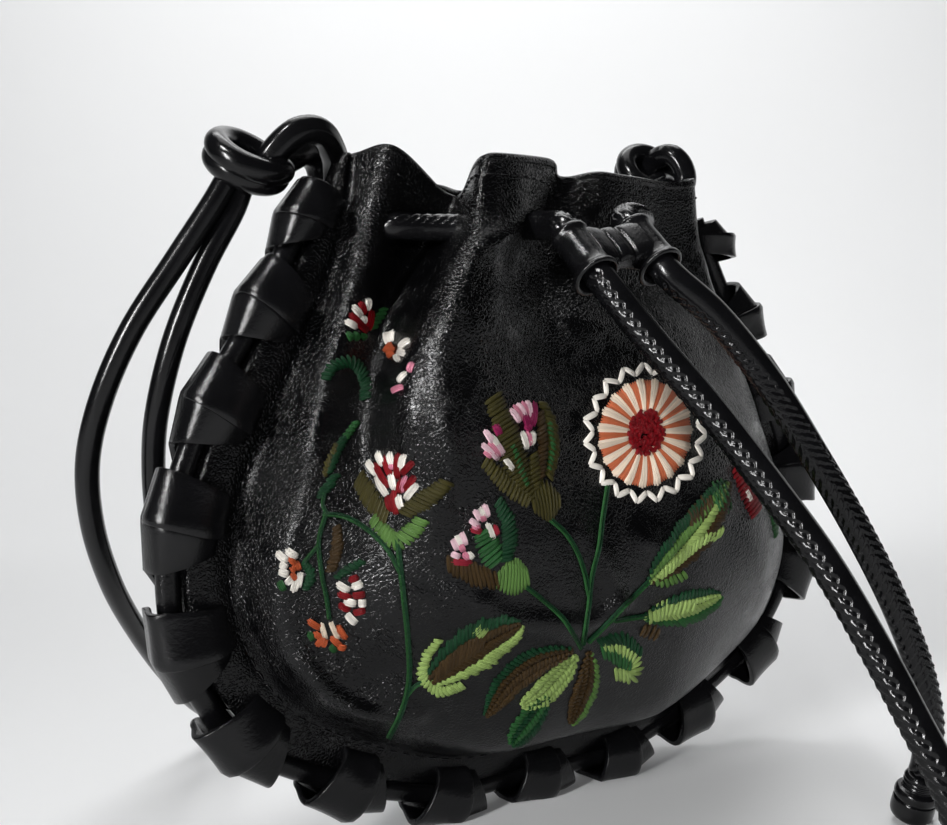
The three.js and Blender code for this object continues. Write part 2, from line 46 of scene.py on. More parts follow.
PICTURE = (947, 825)
CAMERA = {"azimuth": -32.0, "elevation": 1.15, "roll": -1.4, "distance": 238.0, "aim": (-14.5, 0.0, 85.5)}
FOCAL_PIXELS = 1105.0
SENSOR_MM = 36.0


def camera_axes():
    azimuth, elevation, roll = (math.radians(CAMERA[k]) for k in ("azimuth", "elevation", "roll"))
    back = Vector(
        (
            math.sin(azimuth) * math.cos(elevation),
            -math.cos(azimuth) * math.cos(elevation),
            math.sin(elevation),
        )
    )
    level = (-back).cross(Vector((0, 0, 1))).normalized()
    upright = level.cross(-back)
    right = level * math.cos(roll) + upright * math.sin(roll)
    up = upright * math.cos(roll) - level * math.sin(roll)
    eye = Vector(CAMERA["aim"]) + back * CAMERA["distance"]
    return eye, right, up, back


EYE, RIGHT, UP, BACK = camera_axes()


def make_camera():
    bpy.ops.object.camera_add()
    camera = bpy.context.object
    camera.name = "photo_camera"
    turn = Matrix((RIGHT, UP, BACK)).transposed().to_4x4()
    camera.matrix_world = Matrix.Translation(EYE * MM) @ turn
    camera.data.sensor_width = SENSOR_MM
    camera.data.lens = FOCAL_PIXELS / PICTURE[0] * SENSOR_MM
    camera.data.clip_start = 0.01
    camera.data.clip_end = 100
    bpy.context.scene.camera = camera


def sight_line(u, v):
    """The direction from the eye through a place of the picture."""
    across = (u - PICTURE[0] / 2) / FOCAL_PIXELS
    down = (v - PICTURE[1] / 2) / FOCAL_PIXELS
    return (RIGHT * across - UP * down - BACK).normalized()


# Lines and frames


class Route:
    """A smooth line through points, read at a place counted in points."""

    NEAR = 0.002
    FINE_STEPS = 40

    def __init__(self, points):
        points = np.array(points, float)
        first = 2 * points[0] - points[1]
        last = 2 * points[-1] - points[-2]
        points = np.vstack([first, points, last])
        gaps = np.sqrt(np.linalg.norm(np.diff(points, axis=0), axis=1))[:, None]
        p0, p1, p2, p3 = points[:-3], points[1:-2], points[2:-1], points[3:]
        g0, g1, g2 = gaps[:-2], gaps[1:-1], gaps[2:]
        m1 = g1 * ((p1 - p0) / g0 - (p2 - p0) / (g0 + g1) + (p2 - p1) / g1)
        m2 = g1 * ((p2 - p1) / g1 - (p3 - p1) / (g1 + g2) + (p3 - p2) / g2)
        self.terms = (p1, m1, 3 * (p2 - p1) - 2 * m1 - m2, 2 * (p1 - p2) + m1 + m2)
        self.spans = len(p1)

    def at(self, place):
        place = np.clip(np.asarray(place, float), 0, self.spans)
        span = np.minimum(place.astype(int), self.spans - 1)
        t = (place - span)[..., None]
        a, b, c, d = (term[span] for term in self.terms)
        return a + t * (b + t * (c + t * d))

    def along(self, place):
        place = np.asarray(place, float)
        return unit(self.at(place + self.NEAR) - self.at(place - self.NEAR))

    def evenly(self, step):
        """Points along the line, about a step apart."""
        fine = self.at(np.linspace(0, self.spans, self.spans * self.FINE_STEPS + 1))
        travelled = travel(fine)
        count = max(2, int(round(travelled[-1] / step)) + 1)
        return read_along(np.linspace(0, travelled[-1], count), travelled, fine)


def travel(points):
    """How far along a line each of its points lies."""
    return np.concatenate([[0], np.cumsum(np.linalg.norm(np.diff(points, axis=0), axis=1))])


def read_along(wanted, travelled, rows):
    """Rows given at distances along a line, read at other distances."""
    return np.stack([np.interp(wanted, travelled, rows[:, k]) for k in range(3)], axis=1)


def length_of(points):
    return float(np.linalg.norm(np.diff(points, axis=0), axis=1).sum())


# A direction that no line starts along, to set off its first side
FIRST_SIDE = (0.3, 0.2, 1.0)


def carried_frames(points):
    """For each point of a line, its direction and two sides that don't twist along it."""
    ahead = unit(np.gradient(points, axis=0))
    side = unit(np.cross(ahead[0], FIRST_SIDE))
    sides = []
    for direction in ahead:
        side = unit(side - direction * np.dot(side, direction))
        sides.append(side)
    sides = np.array(sides)
    return ahead, sides, np.cross(ahead, sides)


def smooth(low, high, value):
    t = np.clip((value - low) / (high - low), 0, 1)
    return t * t * (3 - 2 * t)


def unit(values):
    values = np.asarray(values, float)
    return values / np.linalg.norm(values, axis=-1, keepdims=True)


def ringed(turn, first, second):
    """Directions at angles that count from the first side towards the second."""
    return np.cos(turn)[:, None] * first + np.sin(turn)[:, None] * second


def row_at(share, last):
    """The row that a share of the way along a grid stands for, from 0 to the last."""
    return np.rint(share * last).astype(int)


# Meshes


def deselect():
    bpy.ops.object.select_all(action="DESELECT")


def take(piece):
    """Makes a piece the only one that is selected, and the active one."""
    deselect()
    piece.select_set(True)
    bpy.context.view_layer.objects.active = piece


def edit_all(piece, *steps):
    """Runs edit mode operators on all of a piece."""
    take(piece)
    bpy.ops.object.mode_set(mode="EDIT")
    bpy.ops.mesh.select_all(action="SELECT")
    for step in steps:
        step()
    bpy.ops.object.mode_set(mode="OBJECT")


def modify(piece, kind, **settings):
    """Adds a modifier and applies it."""
    take(piece)
    modifier = piece.modifiers.new(kind.lower(), kind)
    for name, value in settings.items():
        setattr(modifier, name, value)
    bpy.ops.object.modifier_apply(modifier=modifier.name)


def shaped_grid(name, across, along, place, close=False, fill=False):
    """A grid, laid out by place(u, v), with u and v from 0 to 1. close joins its two sides into a tube, and
    fill closes the tube's ends. An open grid faces the way that u, then v, turn about its normal."""
    deselect()
    bpy.ops.mesh.primitive_grid_add(x_subdivisions=across, y_subdivisions=along, size=2)
    piece = bpy.context.object
    piece.name = name
    piece.data.name = name
    flat = np.empty(len(piece.data.vertices) * 3)
    piece.data.vertices.foreach_get("co", flat)
    u, v = (flat.reshape(-1, 3)[:, k] / 2 + 0.5 for k in range(2))
    piece.data.vertices.foreach_set("co", (place(u, v) * MM).ravel())
    steps = []
    if close:
        steps.append(lambda: bpy.ops.mesh.remove_doubles(threshold=1e-6))
    if fill:
        steps.append(lambda: bpy.ops.mesh.fill_holes(sides=0))
    if close:
        steps.append(lambda: bpy.ops.mesh.normals_make_consistent(inside=False))
    edit_all(piece, *steps)
    bpy.ops.object.shade_smooth()
    return piece


# How far round a cord its seam's groove spreads, in radians
GROOVE_SPREAD = 0.16


def tube(name, points, radius, sides=16, groove=0.0):
    """A round cord along points. radius is a number or one for each point. groove is a seam's depth."""
    _, side, other = carried_frames(points)
    radius = np.broadcast_to(np.asarray(radius, float), len(points))

    def place(u, v):
        ring = row_at(v, len(points) - 1)
        from_groove = 2 * np.pi * np.minimum(u, 1 - u)
        reach = radius[ring] - groove * np.exp(-((from_groove / GROOVE_SPREAD) ** 2))
        return points[ring] + reach[:, None] * ringed(2 * np.pi * u, side[ring], other[ring])

    return shaped_grid(name, sides, len(points) - 1, place, close=True, fill=True)


def face_out(piece, direction):
    """Turns an open piece's faces so that they look along a direction on the whole."""
    normals = np.empty(len(piece.data.polygons) * 3)
    piece.data.polygons.foreach_get("normal", normals)
    areas = np.empty(len(piece.data.polygons))
    piece.data.polygons.foreach_get("area", areas)
    facing = (normals.reshape(-1, 3) * areas[:, None]).sum(0)
    if np.dot(facing, direction) < 0:
        edit_all(piece, lambda: bpy.ops.mesh.flip_normals())


def joined(name, pieces):
    take(pieces[0])
    for piece in pieces:
        piece.select_set(True)
    bpy.ops.object.join()
    pieces[0].name = name
    pieces[0].data.name = name
    return pieces[0]


def finish_piece(piece, material, slot, *nodes):
    """Dresses a piece, lets it stand for its CAD nodes, and lets it ride on the bag."""
    piece.data.materials.clear()
    piece.data.materials.append(material)
    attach(piece, "root")
    if nodes:
        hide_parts(*nodes)
    return piece


# Finishes


class Value:
    """A socket of a finish, with arithmetic that adds Math nodes."""

    def __init__(self, finish, socket):
        self.finish = finish
        self.socket = socket

    def math(self, operation, *others):
        inputs = dict(enumerate((self, *others)))
        return self.finish.node("ShaderNodeMath", {"operation": operation}, inputs)

    def flipped(self, operation, other):
        return self.finish.node("ShaderNodeMath", {"operation": operation}, {0: other, 1: self})

    def __add__(self, other):
        return self.math("ADD", other)

    def __radd__(self, other):
        return self.flipped("ADD", other)

    def __sub__(self, other):
        return self.math("SUBTRACT", other)

    def __rsub__(self, other):
        return self.flipped("SUBTRACT", other)

    def __mul__(self, other):
        return self.math("MULTIPLY", other)

    def __rmul__(self, other):
        return self.flipped("MULTIPLY", other)

    def within(self, low, high):
        """0 below low and 1 above high, with a smooth step between them."""
        settings = {"interpolation_type": "SMOOTHSTEP"}
        return self.finish.node("ShaderNodeMapRange", settings, {0: self, 1: low, 2: high, 3: 0.0, 4: 1.0})


class Finish:
    """A material, with one way to add its nodes."""

    def __init__(self, name):
        self.material = bpy.data.materials.new(name)
        self.material.use_nodes = True
        self.tree = self.material.node_tree
        self.shader = self.tree.nodes["Principled BSDF"]

    def node(self, kind, settings=None, inputs=None, output=0):
        made = self.tree.nodes.new(kind)
        for name, value in (settings or {}).items():
            setattr(made, name, value)
        for name, value in (inputs or {}).items():
            self.feed(made.inputs[name], value)
        return Value(self, made.outputs[output])

    def feed(self, socket, value):
        if isinstance(value, Value):
            self.tree.links.new(value.socket, socket)
        elif isinstance(value, tuple) and len(value) == 3 and socket.type == "RGBA":
            socket.default_value = (*value, 1)
        else:
            socket.default_value = value

    def dress(self, **inputs):
        for name, value in inputs.items():
            self.feed(self.shader.inputs[name.replace("_", " ")], value)

    def coordinates(self, output="Object"):
        return self.node("ShaderNodeTexCoord", output=output)

    def noise(self, place, size, detail=2.0, roughness=0.5, output="Fac"):
        """Cloudy values from 0 to 1, with features of about that size in millimetres."""
        inputs = {"Vector": place, "Scale": 1 / (size * MM), "Detail": detail, "Roughness": roughness}
        return self.node("ShaderNodeTexNoise", None, inputs, output)

    def moved(self, place, offset, amount):
        """A place, pushed about by a colour's channels."""
        centred = self.vector_math("SUBTRACT", {0: offset, 1: (0.5, 0.5, 0.5)})
        scaled = self.vector_math("SCALE", {0: centred, "Scale": amount * MM})
        return self.vector_math("ADD", {0: place, 1: scaled})

    def vector_math(self, operation, inputs):
        return self.node("ShaderNodeVectorMath", {"operation": operation}, inputs)

    def axis(self, place, number):
        return self.node("ShaderNodeSeparateXYZ", None, {0: place}, number)

    def mix(self, share, first, second):
        inputs = {"Factor": share, 6: first, 7: second}
        return self.node("ShaderNodeMix", {"data_type": "RGBA"}, inputs, 2)

    def bump(self, height, depth, strength=1.0):
        inputs = {"Height": height, "Distance": depth * MM, "Strength": strength}
        return self.node("ShaderNodeBump", None, inputs)


# The crinkle, in millimetres: the sizes of its features, and how far its pebbles are pushed about
CRINKLE = {"drift": 1.4, "push": 1.2, "pebble": 0.8, "fine": 0.4, "patch": 6.0, "ripple": 2.6}
CRINKLE_DEPTH = 0.15
WEAR_SIZE = 24.0
# Where the crinkle sets in, in metres: up from the belly, and out to the left
CRINKLED_UP = (0.03, 0.075)
CRINKLED_LEFT = (0.03, 0.05)


def crinkled_leather(name):
    """Glossy black leather whose fine crinkle breaks its shine into specks, smoother low on the belly."""
    finish = Finish(name)
    place = finish.coordinates()
    high_up = finish.axis(place, 2).within(*CRINKLED_UP)
    leftwards = (-1 * finish.axis(place, 0)).within(*CRINKLED_LEFT)
    upper = high_up.math("MAXIMUM", leftwards)
    drift = finish.noise(place, CRINKLE["drift"], 3.0, output="Color")
    warped = finish.moved(place, drift, CRINKLE["push"])
    cells = finish.node(
        "ShaderNodeTexVoronoi",
        {"feature": "DISTANCE_TO_EDGE"},
        {"Vector": warped, "Scale": 1 / (CRINKLE["pebble"] * MM), "Randomness": 1.0},
    )
    pebbles = cells.within(0.0, 0.28)
    fine = finish.noise(warped, CRINKLE["fine"], 3.0, 0.6)
    broad = finish.noise(place, CRINKLE["patch"], 3.0, 0.6)
    patches = broad.within(0.36, 0.64)
    ripples = finish.noise(place, CRINKLE["ripple"], 2.0, 0.5)
    crinkle = pebbles * (0.3 + 0.7 * patches) * (0.35 + 0.65 * upper)
    waves = 0.5 * ripples * (0.3 + 0.7 * upper)
    height = crinkle + 0.3 * fine + waves
    worn = finish.noise(place, WEAR_SIZE, 4.0, 0.6)
    colour = finish.mix(worn.within(0.35, 0.7), (0.001, 0.001, 0.0012), (0.002, 0.002, 0.0022))
    finish.dress(
        Base_Color=colour,
        Roughness=0.26 - 0.1 * upper + 0.04 * patches + 0.04 * fine,
        Specular_IOR_Level=0.3,
        Normal=finish.bump(height, CRINKLE_DEPTH),
    )
    return finish.material


GRAIN_SIZE = 0.7
SHADE_SIZE = 7.0


def smooth_leather(name, tone, rough, grain_depth):
    """Black leather with a faint grain and a softer shine."""
    finish = Finish(name)
    place = finish.coordinates()
    grain = finish.noise(place, GRAIN_SIZE, 4.0, 0.65)
    broad = finish.noise(place, SHADE_SIZE, 3.0, 0.55)
    colour = finish.mix(broad.within(0.3, 0.7), tone, tuple(1.7 * c for c in tone))
    finish.dress(
        Base_Color=colour,
        Roughness=rough + 0.14 * broad - 0.07,
        Specular_IOR_Level=0.34,
        Normal=finish.bump(grain, grain_depth),
    )
    return finish.material


STRANDS_ACROSS = 5
STRAND_DEPTH = 0.09


def stranded_thread(name, tone):
    """Embroidery floss: fine strands along each stitch, and a shade that differs from stitch to stitch."""
    finish = Finish(name)
    shade = finish.node("ShaderNodeAttribute", {"attribute_name": "shade"}, output="Fac")
    strands = finish.axis(finish.coordinates("UV"), 0)
    ribs = (strands * (2 * math.pi * STRANDS_ACROSS)).math("SINE")
    dark = tuple(0.62 * c for c in tone)
    light = tuple(min(1.0, 1.12 * c) for c in tone)
    # Painted shade: the colour follows the ribs, darker in the grooves between strands and lighter on their
    # crests, on top of each stitch's own random shade
    colour = finish.mix((shade + 0.12 * ribs).within(0.0, 1.0), dark, light)
    normal = finish.bump(ribs, STRAND_DEPTH)
    finish.dress(Base_Color=colour, Roughness=0.55, Specular_IOR_Level=0.25, Normal=normal)
    return finish.material


def pale_floor(name):
    """A matt, nearly white floor."""
    finish = Finish(name)
    cloud = finish.noise(finish.coordinates(), 300.0)
    colour = finish.mix(cloud, (0.86, 0.865, 0.87), (0.88, 0.885, 0.89))
    finish.dress(Base_Color=colour, Roughness=0.7, Specular_IOR_Level=0.1)
    return finish.material


# The bag's outline and panels

# The outline and the bulge's depths are those of the part's source. The strap is thicker here, and the
# neck has more gathers and finer ones.
WALL = 1.8
GAP = 0.3
PIPING_DIAMETER = 4.6
STRAP_DIAMETER = 4.7
BRAID_DIAMETER = 5.6

# Right half of the outer edge from the middle of the base up: x, z and how far in the seam lies
EDGE = [
    (0, 2.1, 11.5),
    (23.4, 2.4, 11.5),
    (47.2, 9.4, 12.5),
    (69.7, 22.4, 13.5),
    (82.3, 43.3, 14),
    (83, 68, 14),
    (75.2, 89.9, 14),
    (64.4, 108.7, 13),
    (55.5, 125.6, 10.5),
    (50, 138, 7),
]
RIM_Z = 137
SPINE_FOOT_Z = 40
# The flange is tucked under the base where it faces down, by how much it does
BASE_TUCK = math.radians(16)
TUCK_FROM = 0.35
TUCK_FULL = 0.95
# Between these heights the flange's outward side turns level
LEVEL_FROM_Z = 112
LEVEL_FULL_Z = 134
SEAM_STEPS_PER_STATION = 4

BULGE_Z = (0, 50, 80, 100, 116, 126, 140)
BULGE_DEPTH = (33, 34, 31, 25, 17.5, 15.5, 16.5)
# The bulge rises steeply by this share over this way in from the seam, and slowly over the rest
SIDE_SHARE = 0.2
SIDE_REACH = 5.5
# The slow rise's way in from the seam: a share of the half width, within bounds
FRONT_REACH_SHARE = 0.72
FRONT_REACH = (26, 56)
# Crests and hollows in the front's leather: a line through places (x, z), how far it stands out, its width
FRONT_CRESTS = [
    {
        "line": [(-46, 114), (-52, 100), (-57.6, 85), (-60, 75), (-63.4, 65.5), (-65.4, 57)]
        + [(-65.8, 51), (-64, 43.5), (-60.2, 37.4), (-55, 32.4), (-50, 30)],
        "out": 1.9,
        "width": 2.1,
    },
    {"line": [(-62, 41), (-57.5, 35), (-52, 31), (-46, 29), (-41, 29)], "out": 1.7, "width": 1.9},
    {"line": [(-49, 80), (-53, 66), (-55.6, 55), (-54.6, 46), (-50, 39.5)], "out": -2.9, "width": 6.0},
    {
        "line": [(-4, 137), (-5, 130.5), (-10, 124), (-16, 119.5), (-20.5, 116.5), (-24.5, 110.5)]
        + [(-29, 104), (-31.5, 98), (-34, 88.5), (-35.5, 82), (-36.5, 75), (-39.5, 69.5)],
        "out": 1.7,
        "width": 2.1,
    },
    {"line": [(-34, 51), (-29, 47.5), (-21, 46), (-11, 44.5), (-3.5, 47.5)], "out": 1.9, "width": 2.5},
    {"line": [(-4, 48), (-7, 55), (-13, 63)], "out": 1.4, "width": 2.4},
    {"line": [(2, 60), (8, 58)], "out": 1.6, "width": 3.0},
    {"line": [(18, 60), (25, 66)], "out": 1.0, "width": 4.0},
]


def gather(line, out, left, right, lean=0, drop=0, square=2):
    """A fold of the neck. line: its place at heights from the rim down, as (z, x). out: how far it stands
    out, as (z, mm). left, right: its reach. lean: how far it leans sideways. drop: how far it lowers the
    rim. square: 2 for a round top, more for a flat one."""
    shape = {"line": line, "out": out, "left": left, "right": right}
    return {**shape, "lean": lean, "drop": drop, "square": square}


FRONT_FOLDS = [
    gather(
        [(137, -45), (120, -47.5), (100, -50.5), (72, -55), (50, -57)],
        [(137, 9), (120, 8.5), (100, 5), (72, 2.5), (50, 0)],
        left=4.5, right=6, lean=-4, drop=-8,
    ),
    gather(
        [(137, -26), (120, -35), (107, -43), (93, -48), (84, -50), (66, -51)],
        [(137, -11), (120, -13), (107, -12), (93, -9), (80, -5), (66, 0)],
        left=7, right=4.5, lean=6.5, drop=6.8,
    ),
    gather(
        [(137, -16), (120, -18), (107, -27), (93, -35), (84, -38), (74, -38), (56, -38)],
        [(137, 11), (120, 12.5), (107, 12), (93, 10), (84, 8), (70, 4), (56, 0)],
        left=7, right=12.5, lean=-12, drop=3.0, square=3.4,
    ),
    gather(
        [(137, 1), (120, -7), (105, -15), (92, -20)],
        [(137, -5), (120, -4.5), (105, -3), (92, 0)],
        left=4.5, right=5, drop=2.4,
    ),
    gather(
        [(137, 10), (122, 3), (108, -4), (94, -10)],
        [(137, 0), (122, 1), (108, 1.6), (94, 0)],
        left=4, right=5,
    ),
    gather(
        [(137, 24), (118, 24), (100, 25), (88, 28)],
        [(137, -0.4), (118, -0.8), (100, -0.6), (88, 0)],
        left=18, right=15, drop=2.0, square=6,
    ),
    gather(
        [(137, 40), (120, 42.5), (100, 46), (78, 50)],
        [(137, 6), (120, 5.5), (100, 3), (78, 0)],
        left=8, right=4.5, lean=3, drop=-1.4,
    ),
]
BACK_FOLDS = [
    gather(
        [(137, -40), (118, -43), (76, -50)],
        [(137, 8), (118, 7.5), (98, 4), (76, 0)],
        left=4.5, right=6, lean=-3, drop=-0.5,
    ),
    gather(
        [(137, -22), (118, -24), (66, -30)],
        [(137, -6), (118, -6), (92, -3), (66, 0)],
        left=6, right=5, drop=2,
    ),
    gather(
        [(137, -3), (118, -3), (56, -4)],
        [(137, 5), (118, 5.5), (90, 3), (56, 0)],
        left=6, right=6,
    ),
    gather(
        [(137, 18), (118, 20), (70, 26)],
        [(137, -6), (118, -6), (94, -3), (70, 0)],
        left=5, right=6, drop=2,
    ),
    gather(
        [(137, 40), (118, 43), (76, 50)],
        [(137, 8), (118, 7.5), (98, 4), (76, 0)],
        left=6, right=4.5, lean=3, drop=-0.5,
    ),
]
# How much wider a fold is at its foot, left and right of its line
FOLD_SPREAD = (0.2, 0.6)
# How far in from the seam crests and folds are full, and where a fold starts to lower the rim
CREST_FULL_INSIDE = 3
FOLD_FULL_INSIDE = 10
DROP_FROM_Z = 108

right_edge = np.array(EDGE, float)
left_edge = right_edge[:0:-1] * (-1, 1, 1)
edge_rows = np.vstack([left_edge, right_edge])
edge_route = Route(np.stack([edge_rows[:, 0], np.zeros(len(edge_rows)), edge_rows[:, 1]], axis=1))
STATIONS = len(edge_rows) - 1


def flange_at(station):
    """The flange's frame at places counted in lacing stations: on the edge, with its seam's inset."""
    station = np.clip(np.asarray(station, float), 0, STATIONS)
    origin = edge_route.at(station)
    along = edge_route.along(np.clip(station, 0.01, STATIONS - 0.01))
    slope = 1 - smooth(LEVEL_FROM_Z, LEVEL_FULL_Z, origin[..., 2])
    outward = unit(np.stack([along[..., 2], np.zeros_like(station), -along[..., 0] * slope], axis=-1))
    tuck = (BASE_TUCK * smooth(TUCK_FROM, TUCK_FULL, -outward[..., 2]))[..., None]
    back = np.array((0.0, 1.0, 0.0))
    out = outward * np.cos(tuck) + back * np.sin(tuck)
    front = outward * np.sin(tuck) - back * np.cos(tuck)
    seam = np.interp(station, np.arange(len(edge_rows)), edge_rows[:, 2])
    origin[..., 1] = seam * np.sin(tuck[..., 0])
    return origin, along, out, front, seam


def flange_point(station, out, front, along=0.0):
    """Places given by how far they lie out from the edge, before the flange and along it."""
    origin, ahead, outward, forward, _ = flange_at(station)
    parts = ((outward, out), (forward, front), (ahead, along))
    return origin + sum(direction * np.asarray(amount, float)[..., None] for direction, amount in parts)


seam_stations = np.linspace(0, STATIONS, STATIONS * SEAM_STEPS_PER_STATION + 1)
seam_line = flange_point(seam_stations, -flange_at(seam_stations)[4], np.zeros_like(seam_stations))
seam_line_xz = seam_line[:, [0, 2]]


def from_seam(x, z):
    """How far places of the x-z plane lie from the seam."""
    start, run = seam_line_xz[:-1], np.diff(seam_line_xz, axis=0)
    to = np.stack([x, z], axis=-1)[:, None, :] - start
    share = np.clip((to * run).sum(-1) / (run * run).sum(-1), 0, 1)
    return np.linalg.norm(to - share[..., None] * run, axis=-1).min(axis=1)


right_seam = seam_line_xz[len(seam_line_xz) // 2 :]


def bulge_at(z):
    """How deep the bulge is at heights."""
    span = np.clip(np.searchsorted(BULGE_Z, z, side="right") - 1, 0, len(BULGE_Z) - 2)
    low, high = np.array(BULGE_Z)[span], np.array(BULGE_Z)[span + 1]
    share = smooth(low, high, z)
    depths = np.array(BULGE_DEPTH)
    return depths[span] * (1 - share) + depths[span + 1] * share


def eased(rows, z):
    """A value given at heights from the top down, read smoothly at other heights."""
    heights, values = (np.array(column, float) for column in zip(*rows[::-1]))
    slopes = np.gradient(values, heights)
    span = np.clip(np.searchsorted(heights, z, side="right") - 1, 0, len(heights) - 2)
    step = heights[span + 1] - heights[span]
    t = np.clip((z - heights[span]) / step, 0, 1)
    start, end = values[span], values[span + 1]
    bend_in, bend_out = slopes[span] * step, slopes[span + 1] * step
    curve = 3 * (end - start) - 2 * bend_in - bend_out
    return start + t * (bend_in + t * (curve + t * (2 * (start - end) + bend_in + bend_out)))


def panel_face(x, z, folds, side):
    """A panel's outer face over places (x, z) of the flange plane; side is -1 in front, 1 behind."""
    inside = from_seam(x, z)
    half_width = np.interp(z, right_seam[:, 1], right_seam[:, 0])
    reach = np.clip(FRONT_REACH_SHARE * half_width, *FRONT_REACH)
    side_rise = 1 - (1 - np.minimum(inside / SIDE_REACH, 1)) ** 2
    front_rise = 1 - (1 - np.minimum(inside / reach, 1)) ** 2
    rise = SIDE_SHARE * side_rise + (1 - SIDE_SHARE) * front_rise
    face = np.stack([x, bulge_at(z) * rise, z], axis=-1)
    if side < 0:
        for crest in FRONT_CRESTS:
            line = Route([(at_x, at_z, 0) for at_x, at_z in crest["line"]]).evenly(1.0)
            apart = np.hypot(x[:, None] - line[:, 0], z[:, None] - line[:, 1]).min(axis=1)
            near = np.exp(-((apart / crest["width"]) ** 2))
            face[:, 1] += crest["out"] * near * smooth(0, CREST_FULL_INSIDE, inside)
    held = smooth(0, FOLD_FULL_INSIDE, inside)
    for fold in folds:
        foot_z = fold["line"][-1][0]
        down = np.clip((RIM_Z - z) / (RIM_Z - foot_z), 0, 1)
        offset = x - eased(fold["line"], z)
        left, right = (fold[k] * (1 + spread * down) for k, spread in zip(("left", "right"), FOLD_SPREAD))
        reach = np.where(offset < 0, left, right)
        near = np.exp(-(np.abs(offset / reach) ** fold["square"])) * held
        out = eased(fold["out"], z)
        full = max(abs(amount) for _, amount in fold["out"])
        face[:, 1] += out * near
        face[:, 0] += fold["lean"] * near * np.abs(out) / full
        face[:, 2] -= fold["drop"] * near * smooth(DROP_FROM_Z, RIM_Z, z)
    face[:, 1] = side * (face[:, 1] + GAP / 2 + WALL)
    return face


PANEL_EDGE = PIPING_DIAMETER + 1.5 * GAP
FLANGE_ROWS = 10
BELLY_ROWS = 54
STEPS_PER_STATION = 14
# How far the flange swells between its edge and its seam, and how round that swelling is
FLANGE_PUFF = 0.9
PUFF_ROUNDNESS = 0.8
LEATHER = WALL * 0.9


def panel(name, folds, side):
    """A panel's leather: the flange, a groove at the seam, and the bulging belly gathered at the neck."""
    rows = FLANGE_ROWS + BELLY_ROWS
    seam_low, seam_high = seam_line[len(seam_line) // 2][2], seam_line[0][2]

    def place(u, v):
        station = v * STATIONS
        row = np.rint(u * rows)
        origin, _, out, front, seam = flange_at(station)
        seam_point = origin - out * seam[:, None]
        inset = PANEL_EDGE + (seam - PANEL_EDGE) * np.minimum(row / FLANGE_ROWS, 1)
        way = np.clip((inset - PANEL_EDGE) / (seam - PANEL_EDGE), 0, 1)
        face = GAP / 2 + WALL + FLANGE_PUFF * np.sin(np.pi * way) ** PUFF_ROUNDNESS
        flange = origin - out * inset[:, None] - side * front * face[:, None]
        share = np.maximum(row - FLANGE_ROWS, 0) / BELLY_ROWS
        climb = (seam_point[:, 2] - seam_low) / (seam_high - seam_low)
        spine_z = SPINE_FOOT_Z + (RIM_Z - SPINE_FOOT_Z) * climb
        x = seam_point[:, 0] * (1 - share)
        z = seam_point[:, 2] * (1 - share) + spine_z * share
        belly = panel_face(x, z, folds, side)
        return np.where((row <= FLANGE_ROWS)[:, None], flange, belly)

    piece = shaped_grid(name, rows, STATIONS * STEPS_PER_STATION, place)
    edit_all(piece, lambda: bpy.ops.mesh.remove_doubles(threshold=2e-6))
    face_out(piece, (0, side, 0))
    modify(piece, "SOLIDIFY", thickness=LEATHER * MM, offset=-1.0)
    return piece


HEM = {"radius": 1.05, "below": 0.3, "inward": WALL * 0.45}
RIM_SEWING_BELOW = 3.6
# The rim's line: how far in from the seams it ends, and its points
RIM_INSET = 0.4
RIM_POINTS = 260


def rim_line(folds, side, below, inward):
    """A line along a panel's rim, some way below it and inside its face."""
    x = np.linspace(seam_line[0][0] + RIM_INSET, seam_line[-1][0] - RIM_INSET, RIM_POINTS)
    z = np.full(len(x), RIM_Z - below)
    points = panel_face(x, z, folds, side)
    lower = panel_face(x, z - 1.0, folds, side)
    run = np.gradient(points, axis=0)
    normal = unit(np.cross(run, points - lower))
    normal *= np.sign(normal[len(x) // 2, 1]) * side
    return points - normal * inward, normal


def hem(name, folds, side, material):
    """The rim's turned edge."""
    points, _ = rim_line(folds, side, HEM["below"], HEM["inward"])
    return finish_piece(tube(name, points, HEM["radius"], 12), material, "black_leather")


# The cords' routes

# The keeper, the tails and the knobs lie as in the part's source. So do the strands, lifted off the floor
# for their thickness and led on into their knots. The neck's run is fitted to the finer gathers.
SLIDER = {
    "length": 11,
    "spacing": 15.2,
    "middle": (-8.9, -42.2, 115.4),
    "axis": (0.1, -0.66, -0.72),
    "side": (0.97, 0.05, 0.2),
}
NECK_RUN = [
    (-15.4, -29.6, 121.4),
    (-16.4, -22.4, 122.4),
    (-22.6, -13, 122.8),
    (-30, -8.2, 123.2),
    (-36.4, -5.6, 123.4),
    (-38.6, 1.4, 123.6),
    (-31, 7, 123.6),
    (-17, 7.2, 123.4),
    (0, 10, 123.2),
    (17, 7.2, 123.2),
    (30, 5.6, 123.6),
    (34.4, -1, 124.4),
    (27, -8.2, 124.2),
    (17.4, -17, 122.4),
    (12.2, -25, 124.4),
    (5.2, -30.4, 124.2),
]
TAIL_LEFT = [
    (-10.6, -53, 98.6),
    (-4, -60.4, 86.4),
    (2, -68.6, 72.6),
    (6.6, -75.8, 60.4),
    (10.6, -82, 47.4),
    (13.4, -87.2, 36),
    (16.4, -92, 24),
]
TAIL_RIGHT = [
    (7, -51.4, 103),
    (16.4, -55.6, 90.2),
    (25.2, -58.8, 75.6),
    (33.8, -61.4, 61),
    (42.4, -63.2, 45.2),
    (49, -63.6, 31),
    (52.4, -62.6, 20.6),
]
END_KNOB = {"diameter": 8.8, "length": 10.6}
END_LEFT = {"middle": (21.6, -98.2, 5.6), "axis": (-0.4, 0.5, 0.77)}
END_RIGHT = {"middle": (53.2, -58.6, 5.5), "axis": (-0.02, -0.32, 0.95)}
